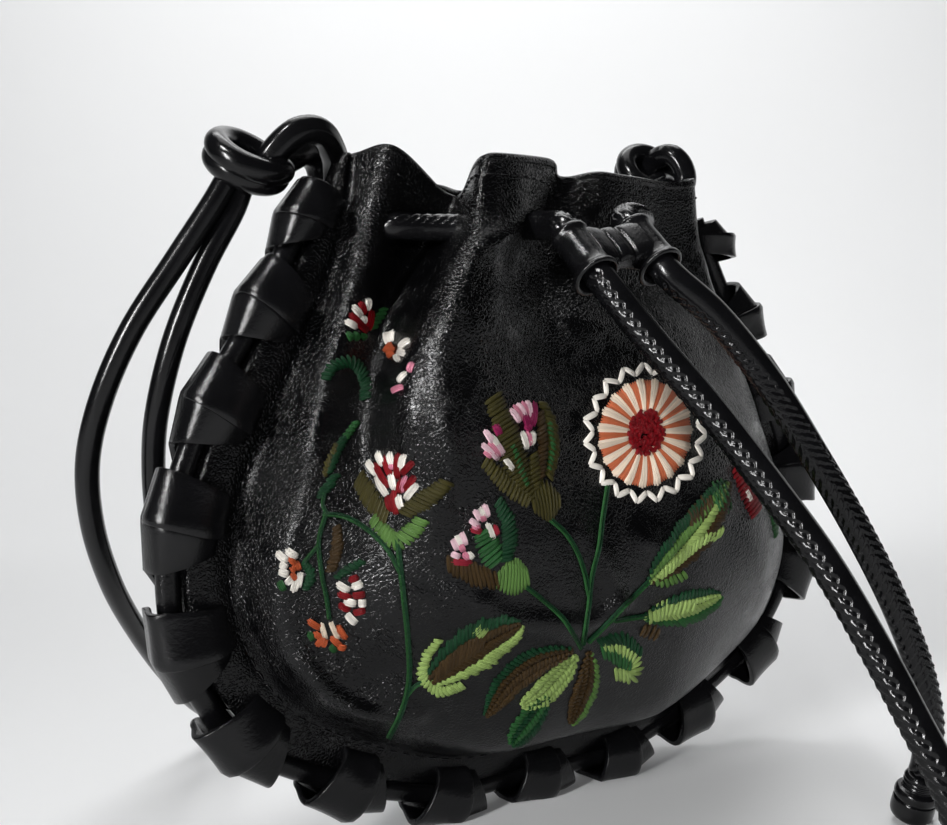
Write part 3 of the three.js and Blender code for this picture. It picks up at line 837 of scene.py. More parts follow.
STRAND_OUTER = [
    (-67, 2.6, 132),
    (-69.4, 3.5, 127.6),
    (-76, 6.4, 116.8),
    (-84.2, 10, 103.2),
    (-89.2, 14, 90.2),
    (-91, 18.4, 78.6),
    (-89.2, 24.6, 66),
    (-84, 32.6, 52.4),
    (-75.4, 44, 38.4),
    (-64, 58, 23.6),
    (-50, 74, 10),
    (-34, 87, 3.1),
    (-12, 96, 2.7),
    (14, 98, 2.6),
    (38, 92, 2.8),
    (55, 80, 8.4),
    (65, 68, 24),
    (70.6, 57, 45),
    (72.4, 47.6, 68),
    (70.4, 39, 92),
    (64.6, 31, 116),
    (57, 23.6, 135.2),
    (55.6, 22.2, 138.2),
]
STRAND_INNER = [
    (-63.6, 3.8, 131.4),
    (-65.2, 4.4, 126.8),
    (-70.6, 6.4, 116),
    (-76.2, 9, 101.6),
    (-78.8, 13, 88),
    (-78.6, 17.4, 79),
    (-76.6, 23.6, 67),
    (-71.4, 33, 51),
    (-62.6, 45, 34.4),
    (-51, 58, 18),
    (-38, 69, 6),
    (-20, 77.6, 2.8),
    (4, 80.6, 2.7),
    (28, 76, 2.8),
    (44, 66.4, 8.4),
    (54.6, 56, 25),
    (60.6, 47, 46),
    (63.4, 39.6, 69),
    (62.6, 33, 92),
    (58.6, 27.4, 114),
    (52.4, 21.6, 133.6),
    (51.6, 20.8, 136.6),
]

slider_axis = unit(SLIDER["axis"])
slider_normal = unit(np.cross(slider_axis, SLIDER["side"]))
slider_side = unit(np.cross(slider_normal, slider_axis))
slider_front = 1.0 if np.dot(slider_normal, BACK) > 0 else -1.0
half_slider = SLIDER["length"] / 2
# How far the cords go on straight at the keeper and at their knobs
LEAD = 2


def slider_point(which, along):
    """A place on the keeper's left (-1) or right (1) tube."""
    across = which * SLIDER["spacing"] / 2
    return np.array(SLIDER["middle"]) + slider_side * across + slider_axis * along


def tail_route(which, points, end):
    """A tail's line, from inside its tube of the keeper to its knob."""
    top = unit(end["axis"])
    knob_top = [np.array(end["middle"]) + top * (END_KNOB["length"] / 2 + lift) for lift in (LEAD, GAP)]
    keeper_end = [slider_point(which, along) for along in (GAP / 2, half_slider + LEAD)]
    return Route([*keeper_end, *points, *knob_top])


into_keeper = (-half_slider - LEAD, -half_slider, -GAP / 2)
neck_start = [slider_point(-1, along) for along in into_keeper[::-1]]
neck_end = [slider_point(1, along) for along in into_keeper]
neck_route = Route([*neck_start, *NECK_RUN, *neck_end])


# The laced edge

# Rows of one turn of the lacing, from its slot over the edge to the back of the next slot: how far along
# to the next slot, place out from the edge and in front of the flange, width, and height of its crease
LACE_TURN = [
    (0, -11, 0, 9.5, 0),
    (0, -9.8, 3.2, 10.5, 0.4),
    (0, -5.4, 5.2, 14.6, 1.5),
    (0, -0.4, 4.4, 18.4, 2.0),
    (0, 0.6, 1.2, 19, 2.0),
    (0, 0.6, -1.2, 19, 1.8),
    (0.05, -0.4, -4, 18, 1.2),
    (0.45, -5, -4.9, 14, 0.3),
    (0.985, -10.2, -3.2, 10, 0),
    (1, -11, -0.6, 9.5, 0),
]
LACE_PITCH = 24
LACE_SLOT = 11
LACE_SLOT_FROM_SEAM = 3
LACE_WRAPS = STATIONS - 1
LACE_THICK = 1.25
LEAF_ROWS = 40
LEAF_STEPS = 8
# Each turn is an upper leaf over a lower one. lap, under: how far past the crease each goes, and slant:
# how far across the crease starts, in half widths. step, settle, curl: how far the upper one stands off,
# less that share at its edge, and turns up there. dive: how steeply the lower one goes under. aside,
# swell: how much the turns differ in place and height. bevel: how far the edges are rounded.
LEAF = {"lap": 0.1, "under": 0.16, "slant": 0.42, "step": 1.35, "settle": 0.45, "curl": 0.9, "dive": 5}
LEAF |= {"aside": 0.5, "swell": 0.3, "bevel": 0.28}
# The rows of LACE_TURN between which the leaves come apart and close up, and the crease comes to the middle
LEAF_OPENS = (0.1, 1.0)
LEAF_CLOSES = (2.9, 4.4)
CREASE_CENTRES = (0.8, 3.6)
# The strip is pressed flat at the floor, lowest along its middle
FLOOR_CLEAR = 0.02
FLOOR_RISE = 0.2

lace_turn = Route(LACE_TURN)


def lace_leaf(name, station, upper, rng):
    """The upper or lower half of one turn of the lacing."""
    row_place = np.linspace(0, lace_turn.spans, LEAF_ROWS + 1)
    along, out, front, width, ridge = lace_turn.at(row_place).T
    edge, _, _, _, seam = flange_at(np.array([float(station), station + 1.0]))
    size = min(1, np.linalg.norm(edge[1] - edge[0]) / LACE_PITCH)
    inset = seam[0] - LACE_SLOT_FROM_SEAM
    out = np.where(out < 0, out * inset / LACE_SLOT, out)
    run = unit(np.stack([np.gradient(out), np.gradient(front)], axis=1))
    rise = np.stack([-run[:, 1], run[:, 0]], axis=1)
    lapped = smooth(*LEAF_OPENS, row_place) * (1 - smooth(*LEAF_CLOSES, row_place))
    crease = LEAF["slant"] * (1 - smooth(*CREASE_CENTRES, row_place))
    slant, swell = (rng.uniform(-LEAF[k], LEAF[k]) for k in ("aside", "swell"))

    def place(u, v):
        row = row_at(v, LEAF_ROWS)
        fold = crease[row]
        low, high = (-1.0, fold + LEAF["lap"]) if upper else (fold - LEAF["under"], 1.0)
        share = high + (low - high) * u
        from_fold = np.where(share > fold, (share - fold) / (1 - fold), (fold - share) / (1 + fold))
        roof = ridge[row] * (1 - from_fold)
        if upper:
            stand_off = LEAF["step"] * lapped[row] * (1 - LEAF["settle"] * from_fold)
            lift = roof + stand_off + LEAF["curl"] * lapped[row] * from_fold**2
        else:
            lift = np.where(share < fold, ridge[row] - LEAF["dive"] * from_fold, roof)
        lift = lift + LACE_THICK / 2 + swell * lapped[row]
        across = share * width[row] / 2 * size + slant * lapped[row]
        outward, forward = out[row] + rise[row, 0] * lift, front[row] + rise[row, 1] * lift
        points = flange_point(station + along[row], outward, forward, across)
        points[:, 2] = np.maximum(points[:, 2], FLOOR_CLEAR + FLOOR_RISE * np.abs(share))
        return points

    leaf = shaped_grid(name, LEAF_STEPS, LEAF_ROWS, place)
    modify(leaf, "SOLIDIFY", thickness=LACE_THICK * MM, offset=-1.0)
    bevel = {"width": LEAF["bevel"] * MM, "segments": 2, "limit_method": "ANGLE"}
    modify(leaf, "BEVEL", **bevel, angle_limit=math.radians(50))
    take(leaf)
    bpy.ops.object.shade_smooth_by_angle(angle=math.radians(45))
    return leaf


def edge_lacing(material):
    """The strip that is laced round the edge, turn by turn."""
    rng = np.random.default_rng(17)
    leaves = []
    for station in range(1, LACE_WRAPS + 1):
        for upper in (True, False):
            leaves.append(lace_leaf("lacing_turn", station, upper, rng))
    return finish_piece(joined("edge_lacing", leaves), material, "strip_leather", "edge_lace")


def edge_cord(material):
    """The piping along the edge, under the lacing. It ends short of the edge's ends."""
    short = 0.6
    radius = PIPING_DIAMETER / 2
    stations = np.linspace(short, STATIONS - short, STATIONS * STEPS_PER_STATION)
    points = flange_point(stations, np.full(len(stations), -radius), np.zeros(len(stations)))
    return finish_piece(tube("edge_cord", points, radius), material, "black_leather", "edge_piping")


# The strap

STRAND_STEP = 1.6
BIGHT_STEP = 1.0
CORD_SIDES = 24
CORD_GROOVE = 0.3


def strap_strand(name, node, route, material):
    """One strand of the strap, from knot to knot."""
    points = Route(route).evenly(STRAND_STEP)
    strand = tube(name, points, STRAP_DIAMETER / 2, CORD_SIDES, CORD_GROOVE)
    finish_piece(strand, material, "cord_leather", node)
    return strand


# Each knot: the bight over the bag's top corner, and the coil that ties its two legs together
KNOT_LEFT = {
    "bight": [
        (-65.2, 2.6, 133.4),
        (-59.9, 2.8, 135),
        (-58.8, 0.8, 136.6),
        (-56.9, -0.8, 139.1),
        (-54.4, -1.8, 141.2),
        (-51.3, -1.6, 142.1),
        (-48.3, -0.4, 141.7),
        (-45.6, 1.8, 139.8),
        (-43.1, 5, 137.2),
        (-42, 8.4, 131),
        (-42.4, 11.8, 131.6),
        (-43.8, 12.5, 138.6),
        (-47.2, 10.5, 140.4),
        (-51.6, 8, 138.3),
        (-56.1, 5.6, 135.4),
        (-62.4, 4.7, 132.8),
    ],
    "middle": (-62.4, 2.6, 136.6),
    "up": tuple(0.485 * RIGHT + 0.747 * UP + 0.454 * BACK),
    "radius": 6.9,
    "start": -1.57,
}
KNOT_RIGHT = {
    "bight": [
        (54.4, 20.4, 139.6),
        (51.4, 16.5, 146.7),
        (51.3, 12.5, 148.6),
        (52.2, 9, 148.4),
        (53.5, 6.8, 145.4),
        (54.2, 6.6, 141.4),
        (49.6, 7.4, 136),
        (44.8, 9, 132),
        (43.4, 13.6, 130.4),
        (45.2, 17.6, 134.6),
        (48.6, 19.4, 138.6),
        (51.4, 20.6, 138),
    ],
    "middle": (49.8, 15, 145.4),
    "up": tuple(0.3 * RIGHT + 0.5 * UP + 0.81 * BACK),
    "radius": 6.7,
    "start": -0.97,
}
# The coil: its turns and their spacing, how much it narrows, how near its ends come to the middle as a
# share, and how far above the middle it and its first end start. started, ends: shares of its length.
COIL = {"turns": 2.0, "pitch": 2.6, "narrows": 1.1, "core": 0.05, "above": 1.6, "dip": 6}
COIL |= {"started": 0.13, "ends": 0.9, "points": 200}
BIGHT_RADIUS = STRAP_DIAMETER / 2 + 0.45
COIL_RADIUS = STRAP_DIAMETER / 2 + 0.25


def strap_knot(name, node, knot, material):
    """The bight and its coil, as one piece."""
    line = Route(knot["bight"]).evenly(BIGHT_STEP)
    bight = tube(name + "_bight", line, BIGHT_RADIUS, CORD_SIDES, CORD_GROOVE)
    up = unit(knot["up"])
    across = unit(np.cross(up, np.array(BACK)))
    toward = np.cross(across, up)
    share = np.linspace(0, 1, COIL["points"])
    turn = knot["start"] + share * COIL["turns"] * 2 * math.pi
    started = smooth(0, COIL["started"], share)
    tucked = np.minimum(started, 1 - smooth(COIL["ends"], 1, share))
    reach = (knot["radius"] - COIL["narrows"] * share) * (COIL["core"] + (1 - COIL["core"]) * tucked)
    drop = COIL["pitch"] * COIL["turns"] * share - COIL["above"] + COIL["dip"] * (1 - started)
    around = reach[:, None] * ringed(turn, across, toward)
    points = np.array(knot["middle"]) + around - drop[:, None] * up
    coil = tube(name + "_coil", points, COIL_RADIUS, CORD_SIDES, CORD_GROOVE)
    return finish_piece(joined(name, [bight, coil]), material, "cord_leather", node)


# The drawstring

# Its leather is drawn shut by a plaited seam: two columns of scales that lie like a fishtail, with toothed
# sides. sink: the share of a scale's height that lies below the cord's face. brink: from where to where
# across the border the scales fade out.
SEAM = {
    "half_band": math.radians(66),
    "pitch": 2.1,
    "slope": 1.5,
    "scale": 0.5,
    "sink": 0.62,
    "brink": (-0.2, 0.05),
    "tooth": math.radians(11),
    "groove": 0.4,
    "groove_width": 0.22,
    "sides": 72,
    "step": 0.34,
}


def laced_cord(name, route, diameter, seam_toward):
    """A round cord along a route. seam_toward: the directions that its plaited seam faces, end to end."""
    points = route.evenly(SEAM["step"])
    count = len(points)
    travelled = np.linspace(0, length_of(points), count)
    ahead = unit(np.gradient(points, axis=0))
    rows = np.array(seam_toward, float)
    facing = read_along(np.linspace(0, 1, count), np.linspace(0, 1, len(rows)), rows)
    facing = unit(facing - ahead * (facing * ahead).sum(1, keepdims=True))
    aside = np.cross(ahead, facing)

    def place(u, v):
        ring = row_at(v, count - 1)
        turn = 2 * np.pi * (u - 0.5)
        beat = travelled[ring] / SEAM["pitch"]
        right = turn > 0
        tooth = SEAM["tooth"] * (4 * np.abs((beat + 0.5 * right) % 1 - 0.5) - 1)
        border = SEAM["half_band"] + tooth
        from_border = (np.abs(turn) - border) * diameter / 2
        inside = 1 - smooth(*SEAM["brink"], from_border)
        climb = beat - SEAM["slope"] * np.abs(turn) / SEAM["half_band"] + 0.5 * right
        scale = SEAM["scale"] * (climb % 1 - SEAM["sink"])
        groove = SEAM["groove"] * np.exp(-((from_border / SEAM["groove_width"]) ** 2))
        reach = diameter / 2 + scale * inside - groove
        return points[ring] + reach[:, None] * ringed(turn, facing[ring], aside[ring])

    return shaped_grid(name, SEAM["sides"], count - 1, place, close=True, fill=True)


def drawstring_tail(name, node, route, seam_toward, material):
    """One free end of the drawstring, from the keeper to its knob."""
    points = route.evenly(SEAM["step"])
    tail = laced_cord(name, route, BRAID_DIAMETER, seam_toward)
    finish_piece(tail, material, "cord_leather", node)
    return tail


# The end's outline from its foot up: shares of its radius and of half its length
KNOB_OUTLINE = [
    (0.02, -1.0),
    (0.55, -1.0),
    (0.84, -0.93),
    (0.95, -0.78),
    (0.97, -0.4),
    (0.95, -0.18),
    (0.88, -0.12),
    (0.97, -0.05),
    (0.98, 0.12),
    (0.92, 0.26),
    (0.76, 0.32),
    (0.7, 0.36),
    (0.74, 0.44),
    (0.7, 0.52),
    (0.74, 0.6),
    (0.7, 0.68),
    (0.74, 0.76),
    (0.68, 0.88),
    (0.5, 0.96),
    (0.02, 0.97),
]
KNOB_ROWS = 95
KNOB_SIDES = 28


def outline_at(rows, last):
    """An outline's radius and height in columns, at rows 0 to last."""
    return Route([(r, h, 0) for r, h in rows]).at(np.linspace(0, len(rows) - 1, last + 1))


def end_knob(name, node, end, material):
    """A free end's knob: a rolled tip with a band wound round it."""
    outline = outline_at(KNOB_OUTLINE, KNOB_ROWS)
    up = unit(end["axis"])
    across = unit(np.cross(up, (1.0, 0.3, 0)))
    toward = np.cross(up, across)

    def place(u, v):
        row = row_at(v, KNOB_ROWS)
        radius = outline[row, 0] * END_KNOB["diameter"] / 2
        height = outline[row, 1] * END_KNOB["length"] / 2
        around = ringed(2 * np.pi * u, across, toward)
        points = np.array(end["middle"]) + radius[:, None] * around + height[:, None] * up
        points[:, 2] = np.maximum(points[:, 2], FLOOR_CLEAR)
        return points

    knob = shaped_grid(name, KNOB_SIDES, KNOB_ROWS, place, close=True, fill=True)
    return finish_piece(knob, material, "cord_leather", node)


BORE = BRAID_DIAMETER / 2 + 0.12
# A keeper tube's outline, down the outside to the rim and back up the bore: radius and place along it
KEEPER_OUTLINE = [
    (BORE + 0.1, -half_slider),
    (BORE + 0.6, -half_slider - 0.2),
    (BORE + 0.85, -half_slider + 0.6),
    (BORE + 0.55, -half_slider + 1.6),
    (BORE + 0.5, 0.2),
    (BORE + 0.55, half_slider - 2.6),
    (BORE + 0.9, half_slider - 1.4),
    (BORE + 1.55, half_slider - 0.6),
    (BORE + 1.65, half_slider + 0.1),
    (BORE + 1.1, half_slider + 0.3),
    (BORE + 0.5, half_slider - 0.5),
    (BORE + 0.1, half_slider - 2.6),
]
# A tube's lower rim sags: by that share of its radius, over that length, toward that angle in radians
KEEPER_SAG = {"share": 0.12, "over": 3, "toward": 3.6}
TUBE_ROWS = 66
TUBE_SIDES = 40
# The web between the tubes: half its thickness and how far that dips, how much less tall it is than the
# tubes, by what share it narrows, how far back along them it lies, how boxy it is, its share of their gap
WEB = {"half": 3.2, "dip": 0.9, "less": 0.7, "waist": 0.1, "back": 0.6, "boxy": 0.55, "reach": 0.8}
# Its creases: depth, place and width across, with a ridge down the middle
WEB_CREASE = {"depth": 0.5, "at": 0.3, "width": 0.07, "ridge": 0.45, "ridge_width": 0.16}
WEB_ROWS = 60
WEB_SIDES = 36


def keeper_tube(which):
    """The keeper's left (-1) or right (1) tube, with flared rims."""
    line = outline_at(KEEPER_OUTLINE, TUBE_ROWS)

    def place(u, v):
        row = row_at(v, TUBE_ROWS)
        turn = 2 * np.pi * u
        low = smooth(half_slider - KEEPER_SAG["over"], half_slider, line[row, 1])
        sag = 1 + KEEPER_SAG["share"] * low * np.cos(turn - KEEPER_SAG["toward"])
        middle = slider_point(which, 0) + line[row, 1:2] * slider_axis
        return middle + (line[row, 0] * sag)[:, None] * ringed(turn, slider_side, slider_normal)

    return shaped_grid("keeper_tube", TUBE_SIDES, TUBE_ROWS, place, close=True)


def keeper_web():
    """The creased web between the keeper's tubes."""

    def boxy(values):
        return np.sign(values) * np.abs(values) ** WEB["boxy"]

    def place(u, v):
        across = (np.rint(v * WEB_ROWS) / WEB_ROWS - 0.5) * 2
        turn = 2 * np.pi * u
        front = np.sin(turn) * slider_front > 0
        inner = np.cos(across * np.pi / 2) ** 2
        creases = np.exp(-(((np.abs(across) - WEB_CREASE["at"]) / WEB_CREASE["width"]) ** 2))
        ridge = np.exp(-((across / WEB_CREASE["ridge_width"]) ** 2))
        crease = WEB_CREASE["depth"] * creases - WEB_CREASE["ridge"] * ridge
        thick = WEB["half"] - WEB["dip"] * inner - crease * front
        tall = (half_slider - WEB["less"]) * (1 - WEB["waist"] * inner)
        sideways = across * SLIDER["spacing"] / 2 * WEB["reach"]
        along = tall * boxy(np.cos(turn)) - WEB["back"]
        out = thick * boxy(np.sin(turn))
        offsets = ((slider_side, sideways), (slider_axis, along), (slider_normal, out))
        return np.array(SLIDER["middle"]) + sum(way * amount[:, None] for way, amount in offsets)

    return shaped_grid("keeper_web", WEB_SIDES, WEB_ROWS, place, close=True, fill=True)


def keeper(material):
    """The keeper: two rolled tubes, and the web between them."""
    parts = [keeper_tube(-1), keeper_tube(1), keeper_web()]
    return finish_piece(joined("keeper", parts), material, "strip_leather", "drawstring_slider")


# Sewing stitches

# off, from_seam: how far the seam's stitches lie off the leather and out from the seam. short: how far
# they end before the edge's ends, in stations.
SEWING = {"length": 2.3, "gap": 0.9, "radius": 0.23, "off": 0.12, "from_seam": 0.5, "short": 0.3}
# How far a stitch stands out along its length, in radii
SEWING_ARCH = np.array((-0.9, 0.35, 0.5, 0.35, -0.9))
SEWING_POINTS = 900


def sewing(name, points, normals, material):
    """A row of stitches along a line on the leather."""
    travelled = travel(points)
    pitch = SEWING["length"] + SEWING["gap"]
    arch = SEWING["radius"] * SEWING_ARCH[:, None]
    made = []
    for number in range(int(travelled[-1] / pitch)):
        at = number * pitch + np.linspace(0, SEWING["length"], len(arch))
        spot, up = (read_along(at, travelled, rows) for rows in (points, normals))
        made.append(tube(name, spot + up * arch, SEWING["radius"], 6))
    return finish_piece(joined(name, made), material, None)


def seam_sewing(name, side, material):
    """The stitches along the seam between the flange and the belly."""
    stations = np.linspace(SEWING["short"], STATIONS - SEWING["short"], SEWING_POINTS)
    origin, _, out, front, seam = flange_at(stations)
    normal = -side * front
    inset = seam - SEWING["from_seam"]
    points = origin - out * inset[:, None] + normal * (GAP / 2 + WALL + SEWING["off"])
    return sewing(name, points, normal, material)


def rim_sewing(name, folds, side, material):
    """The stitches along the rim."""
    points, normals = rim_line(folds, side, RIM_SEWING_BELOW, 0)
    return sewing(name, points, normals, material)


# The embroidery: stitches charted in the picture's frame and laid on the front panel along the sight lines


def tone(red, green, blue):
    """A colour as the picture shows it, in linear light."""
    return tuple((c / 255) ** 2.2 for c in (red, green, blue))


FLOSS = {
    "white": tone(236, 230, 220),
    "cream": tone(242, 222, 200),
    "peach": tone(202, 108, 72),
    "orange": tone(180, 84, 50),
    "red": tone(118, 10, 22),
    "crimson": tone(150, 40, 56),
    "pink": tone(210, 128, 150),
    "pale_pink": tone(238, 200, 210),
    "magenta": tone(134, 34, 78),
    "dark_green": tone(20, 56, 34),
    "green": tone(40, 82, 44),
    "leaf": tone(82, 114, 58),
    "light_green": tone(138, 162, 92),
    "olive": tone(62, 58, 28),
    "brown": tone(60, 46, 26),
}
STITCH_RINGS = 6
STITCH_SIDES = 8
STITCH_HEIGHT = 0.4
# A stitch's ends: how round, their shares of its width and height, how far they sink and how far the middle
# rises over that, in heights
STITCH_END = {"round": 0.4, "width": 0.66, "height": 0.4, "sink": 0.35, "rise": 0.7}
# A longer stitch would span a fold
STITCH_LONGEST = 12
# The range of shades, as shares of a tone
STITCH_SHADES = (0.45, 1.0)
# Each bar's strands: how far apart and how wide, as shares of its width, and how far they stand up
STRAND_APART = 0.28
STRAND_WIDTH = 0.47
STRAND_LIFT = 0.08
# A strand ends short of its bar by up to this many pixels, and by one more at the bar's sides
STRAND_SHORT = 1.2
# A plait's stitches: half their length and their shortest, as shares of the plait's width and of that
# length, how much that differs, and how far they stray in pixels
PLAIT = {"half": 0.66, "shortest": 0.72, "differ": (0.9, 1.12), "stray": 0.5}
# A leaf's stitches: how much their length differs, where the inner ones end and the outer ones start and
# end, as shares of it, and how far the outer ones stand up
BLADE = {"differ": (0.9, 1.08), "inner": 0.6, "outer": (0.5, 1.12), "lift": 0.06}
# A stem's stitches: their spacing and half length in pixels, and the widths of its two rows as shares
STEM = {"step": 4.0, "half": 4, "dark": 0.62, "light": 0.5}
# The daisy's reach across and up, in pixels: its eye, its petals' feet and tips, and its zigzag border.
# Then its tilt in radians, its counts, how far the zigzag's points differ, and the eye's half stitch.
DAISY = {
    "eye": (17.5, 23),
    "foot": (13, 17),
    "pale_tip": (48, 55.5),
    "dark_tip": (46, 53.5),
    "border": (51.5, 59),
    "point": (62, 70),
    "tilt": 0.12,
    "petals": 19,
    "eye_stitches": 190,
    "differ": 1.5,
    "eye_half": 2.6,
}


class Needlework:
    """Stitches on the front panel, gathered by colour."""

    def __init__(self, ground):
        corners = [v.co.copy() for v in ground.data.vertices]
        faces = [tuple(p.vertices) for p in ground.data.polygons]
        self.ground = BVHTree.FromPolygons(corners, faces)
        self.rng = np.random.default_rng(5)
        self.work = {name: ([], [], [], []) for name in FLOSS}

    def cast(self, u, v):
        """The panel's place and normal that the picture shows at a pixel."""
        place, normal, _, _ = self.ground.ray_cast(EYE * MM, sight_line(u, v))
        if place is None:
            return None
        if normal.dot(BACK) < 0:
            normal = -normal
        return place / MM, normal

    def stitch(self, colour, start, end, width, lift=0.0):
        """One stitch between two places of the picture."""
        start, end = np.array(start, float), np.array(end, float)
        hits = []
        for t in np.linspace(0, 1, STITCH_RINGS):
            hit = self.cast(*(start + (end - start) * t))
            if hit is None:
                return
            hits.append(hit)
        reach = np.linalg.norm(np.array(hits[-1][0]) - np.array(hits[0][0]))
        if reach > STITCH_LONGEST:
            return
        corners, faces, shades, strands = self.work[colour]
        first = len(corners)
        run = (hits[-1][0] - hits[0][0]).normalized()
        shade = self.rng.uniform(*STITCH_SHADES)
        for t, (place, normal) in zip(np.linspace(0, 1, STITCH_RINGS), hits):
            depth = (place - EYE).dot(-BACK)
            full = max(0.0, math.sin(math.pi * t)) ** STITCH_END["round"]
            wide, high = (STITCH_END[k] + (1 - STITCH_END[k]) * full for k in ("width", "height"))
            half = width / 2 * depth / FOCAL_PIXELS * wide
            tall = STITCH_HEIGHT * high
            side = run.cross(normal).normalized()
            rise = STITCH_HEIGHT * (STITCH_END["rise"] * full - STITCH_END["sink"])
            middle = place + normal * (lift + rise)
            for k in range(STITCH_SIDES):
                turn = 2 * math.pi * k / STITCH_SIDES
                corners.append(middle + side * (half * math.cos(turn)) + normal * (tall * math.sin(turn)))
                shades.append(shade)
                strands.append((math.cos(turn) * 0.5 + 0.5, t))
        for ring in range(STITCH_RINGS - 1):
            for k in range(STITCH_SIDES):
                low = first + ring * STITCH_SIDES
                a, b = low + k, low + (k + 1) % STITCH_SIDES
                faces.append((a, b, b + STITCH_SIDES, a + STITCH_SIDES))
        last = first + (STITCH_RINGS - 1) * STITCH_SIDES
        faces.append(tuple(first + k for k in reversed(range(STITCH_SIDES))))
        faces.append(tuple(last + k for k in range(STITCH_SIDES)))

    def bars(self, colour, width, *rows):
        """Bars of three close strands, each bar as u and v of its start and end."""
        for u0, v0, u1, v1 in rows:
            start, end = np.array((u0, v0), float), np.array((u1, v1), float)
            along = unit(end - start)
            aside = np.array((-along[1], along[0])) * width * STRAND_APART
            for strand in (-1, 1, 0):
                short = self.rng.uniform(0.0, STRAND_SHORT) + abs(strand)
                near = start + along * short + aside * strand
                far = end - along * (0.5 * short) + aside * strand
                self.stitch(colour, near, far, width * STRAND_WIDTH, STRAND_LIFT)

    def spine(self, points):
        """A smooth line in the picture."""
        return Route([(u, v, 0) for u, v in points])

    def plait(self, colour, points, width, lean=55, step=4.4, thread=4.9, lift=0.0):
        """A row of slanted stitches across a line."""
        middles = self.spine(points).evenly(step)
        ahead = unit(np.gradient(middles, axis=0))[:, :2]
        slant = math.radians(lean)
        turn = np.array(((math.cos(slant), -math.sin(slant)), (math.sin(slant), math.cos(slant))))
        for number, (middle, direction) in enumerate(zip(middles[:, :2], ahead)):
            mid = math.sin(math.pi * (number + 0.5) / len(middles))
            ends = PLAIT["shortest"] + (1 - PLAIT["shortest"]) * mid
            half = turn @ direction * width * PLAIT["half"] * ends * self.rng.uniform(*PLAIT["differ"])
            middle = middle + self.rng.uniform(-PLAIT["stray"], PLAIT["stray"], 2)
            self.stitch(colour, middle - half, middle + half, thread, lift)

    def leaf(self, points, half, first, second, lean=38, step=4.3, thread=4.9):
        """A leaf of slanted stitches out from its rib. first, second: a side's inner and outer colour."""
        rib = self.spine(points).evenly(step)[:, :2]
        ahead = unit(np.gradient(rib, axis=0))
        slant = math.radians(lean)
        for number, (spot, direction) in enumerate(zip(rib, ahead)):
            share = (number + 0.3) / len(rib)
            reach = half * math.sin(math.pi * share**0.8) ** 0.6
            for hand, (inner, outer) in ((1, first), (-1, second)):
                aside = np.array((direction[1], -direction[0])) * hand
                way = direction * math.sin(slant) + aside * math.cos(slant)
                out = way * reach * self.rng.uniform(*BLADE["differ"])
                near, far = (spot + out * part for part in BLADE["outer"])
                self.stitch(inner, spot, spot + out * BLADE["inner"], thread)
                self.stitch(outer, near, far, thread, BLADE["lift"])

    def stem(self, points, width=4.8):
        """Two close rows of short stitches along a line."""
        middles = self.spine(points).evenly(STEM["step"])[:, :2]
        ahead = unit(np.gradient(middles, axis=0))
        aside = np.stack([-ahead[:, 1], ahead[:, 0]], axis=1) * width / 4
        for middle, direction, off in zip(middles, ahead, aside):
            start, end = middle - direction * STEM["half"], middle + direction * STEM["half"]
            self.stitch("dark_green", start - off, end - off, width * STEM["dark"])
            self.stitch("green", start + off, end + off, width * STEM["light"])

    def satin(self, colour, first, second, count, thread):
        """Stitches from one line to another."""
        starts = self.spine(first).at(np.linspace(0, len(first) - 1, count))[:, :2]
        ends = self.spine(second).at(np.linspace(0, len(second) - 1, count))[:, :2]
        for start, end in zip(starts, ends):
            self.stitch(colour, start, end, thread)

    def daisy(self, middle):
        """The big flower: petals in two colours, a zigzag border and an eye of crossed stitches."""
        middle = np.array(middle, float)
        petals = DAISY["petals"]
        lean, rise = math.cos(DAISY["tilt"]), math.sin(DAISY["tilt"])

        def around(share, reach):
            turn = 2 * math.pi * share - math.pi / 2
            u, v = reach[0] * math.cos(turn), reach[1] * math.sin(turn)
            return middle + (u * lean - v * rise, u * rise + v * lean)

        for petal in range(petals):
            for number in range(3):
                share = (petal + (number + 0.5) / 6) / petals
                tip = [reach - abs(number - 1) for reach in DAISY["pale_tip"]]
                self.stitch("cream", around(share, DAISY["foot"]), around(share, tip), 4.6, 0.05)
                share += 0.5 / petals
                self.stitch("peach", around(share, DAISY["foot"]), around(share, DAISY["dark_tip"]), 4.4)
            across, up = DAISY["point"]
            across += self.rng.uniform(-DAISY["differ"], DAISY["differ"])
            outer = around((petal + 0.5) / petals, (across, up))
            for side in (0, 1):
                self.stitch("white", around((petal + side) / petals, DAISY["border"]), outer, 6.2, 0.1)
        for number in range(DAISY["eye_stitches"]):
            reach = math.sqrt(self.rng.uniform(0, 1))
            spot = around(self.rng.uniform(0, 1), [reach * size for size in DAISY["eye"]])
            turn = self.rng.uniform(0, math.pi)
            half = np.array((math.cos(turn), math.sin(turn))) * DAISY["eye_half"]
            self.stitch("red", spot - half, spot + half, 4.2, 0.5 - 0.25 * reach)

    def pieces(self):
        """Makes one piece of all the stitches of a colour."""
        for colour, (corners, faces, shades, strands) in self.work.items():
            mesh = bpy.data.meshes.new("stitches_" + colour)
            mesh.from_pydata([corner * MM for corner in corners], [], faces)
            shade = mesh.attributes.new("shade", "FLOAT", "POINT")
            shade.data.foreach_set("value", shades)
            layer = mesh.uv_layers.new(name="strands")
            spots = np.empty(len(mesh.loops), int)
            mesh.loops.foreach_get("vertex_index", spots)
            layer.data.foreach_set("uv", np.array(strands)[spots].ravel())
            piece = bpy.data.objects.new("stitches_" + colour, mesh)
            bpy.context.collection.objects.link(piece)
            edit_all(piece, lambda: bpy.ops.mesh.normals_make_consistent(inside=False))
            bpy.ops.object.shade_smooth()
            finish_piece(piece, stranded_thread("floss_" + colour, FLOSS[colour]), None)


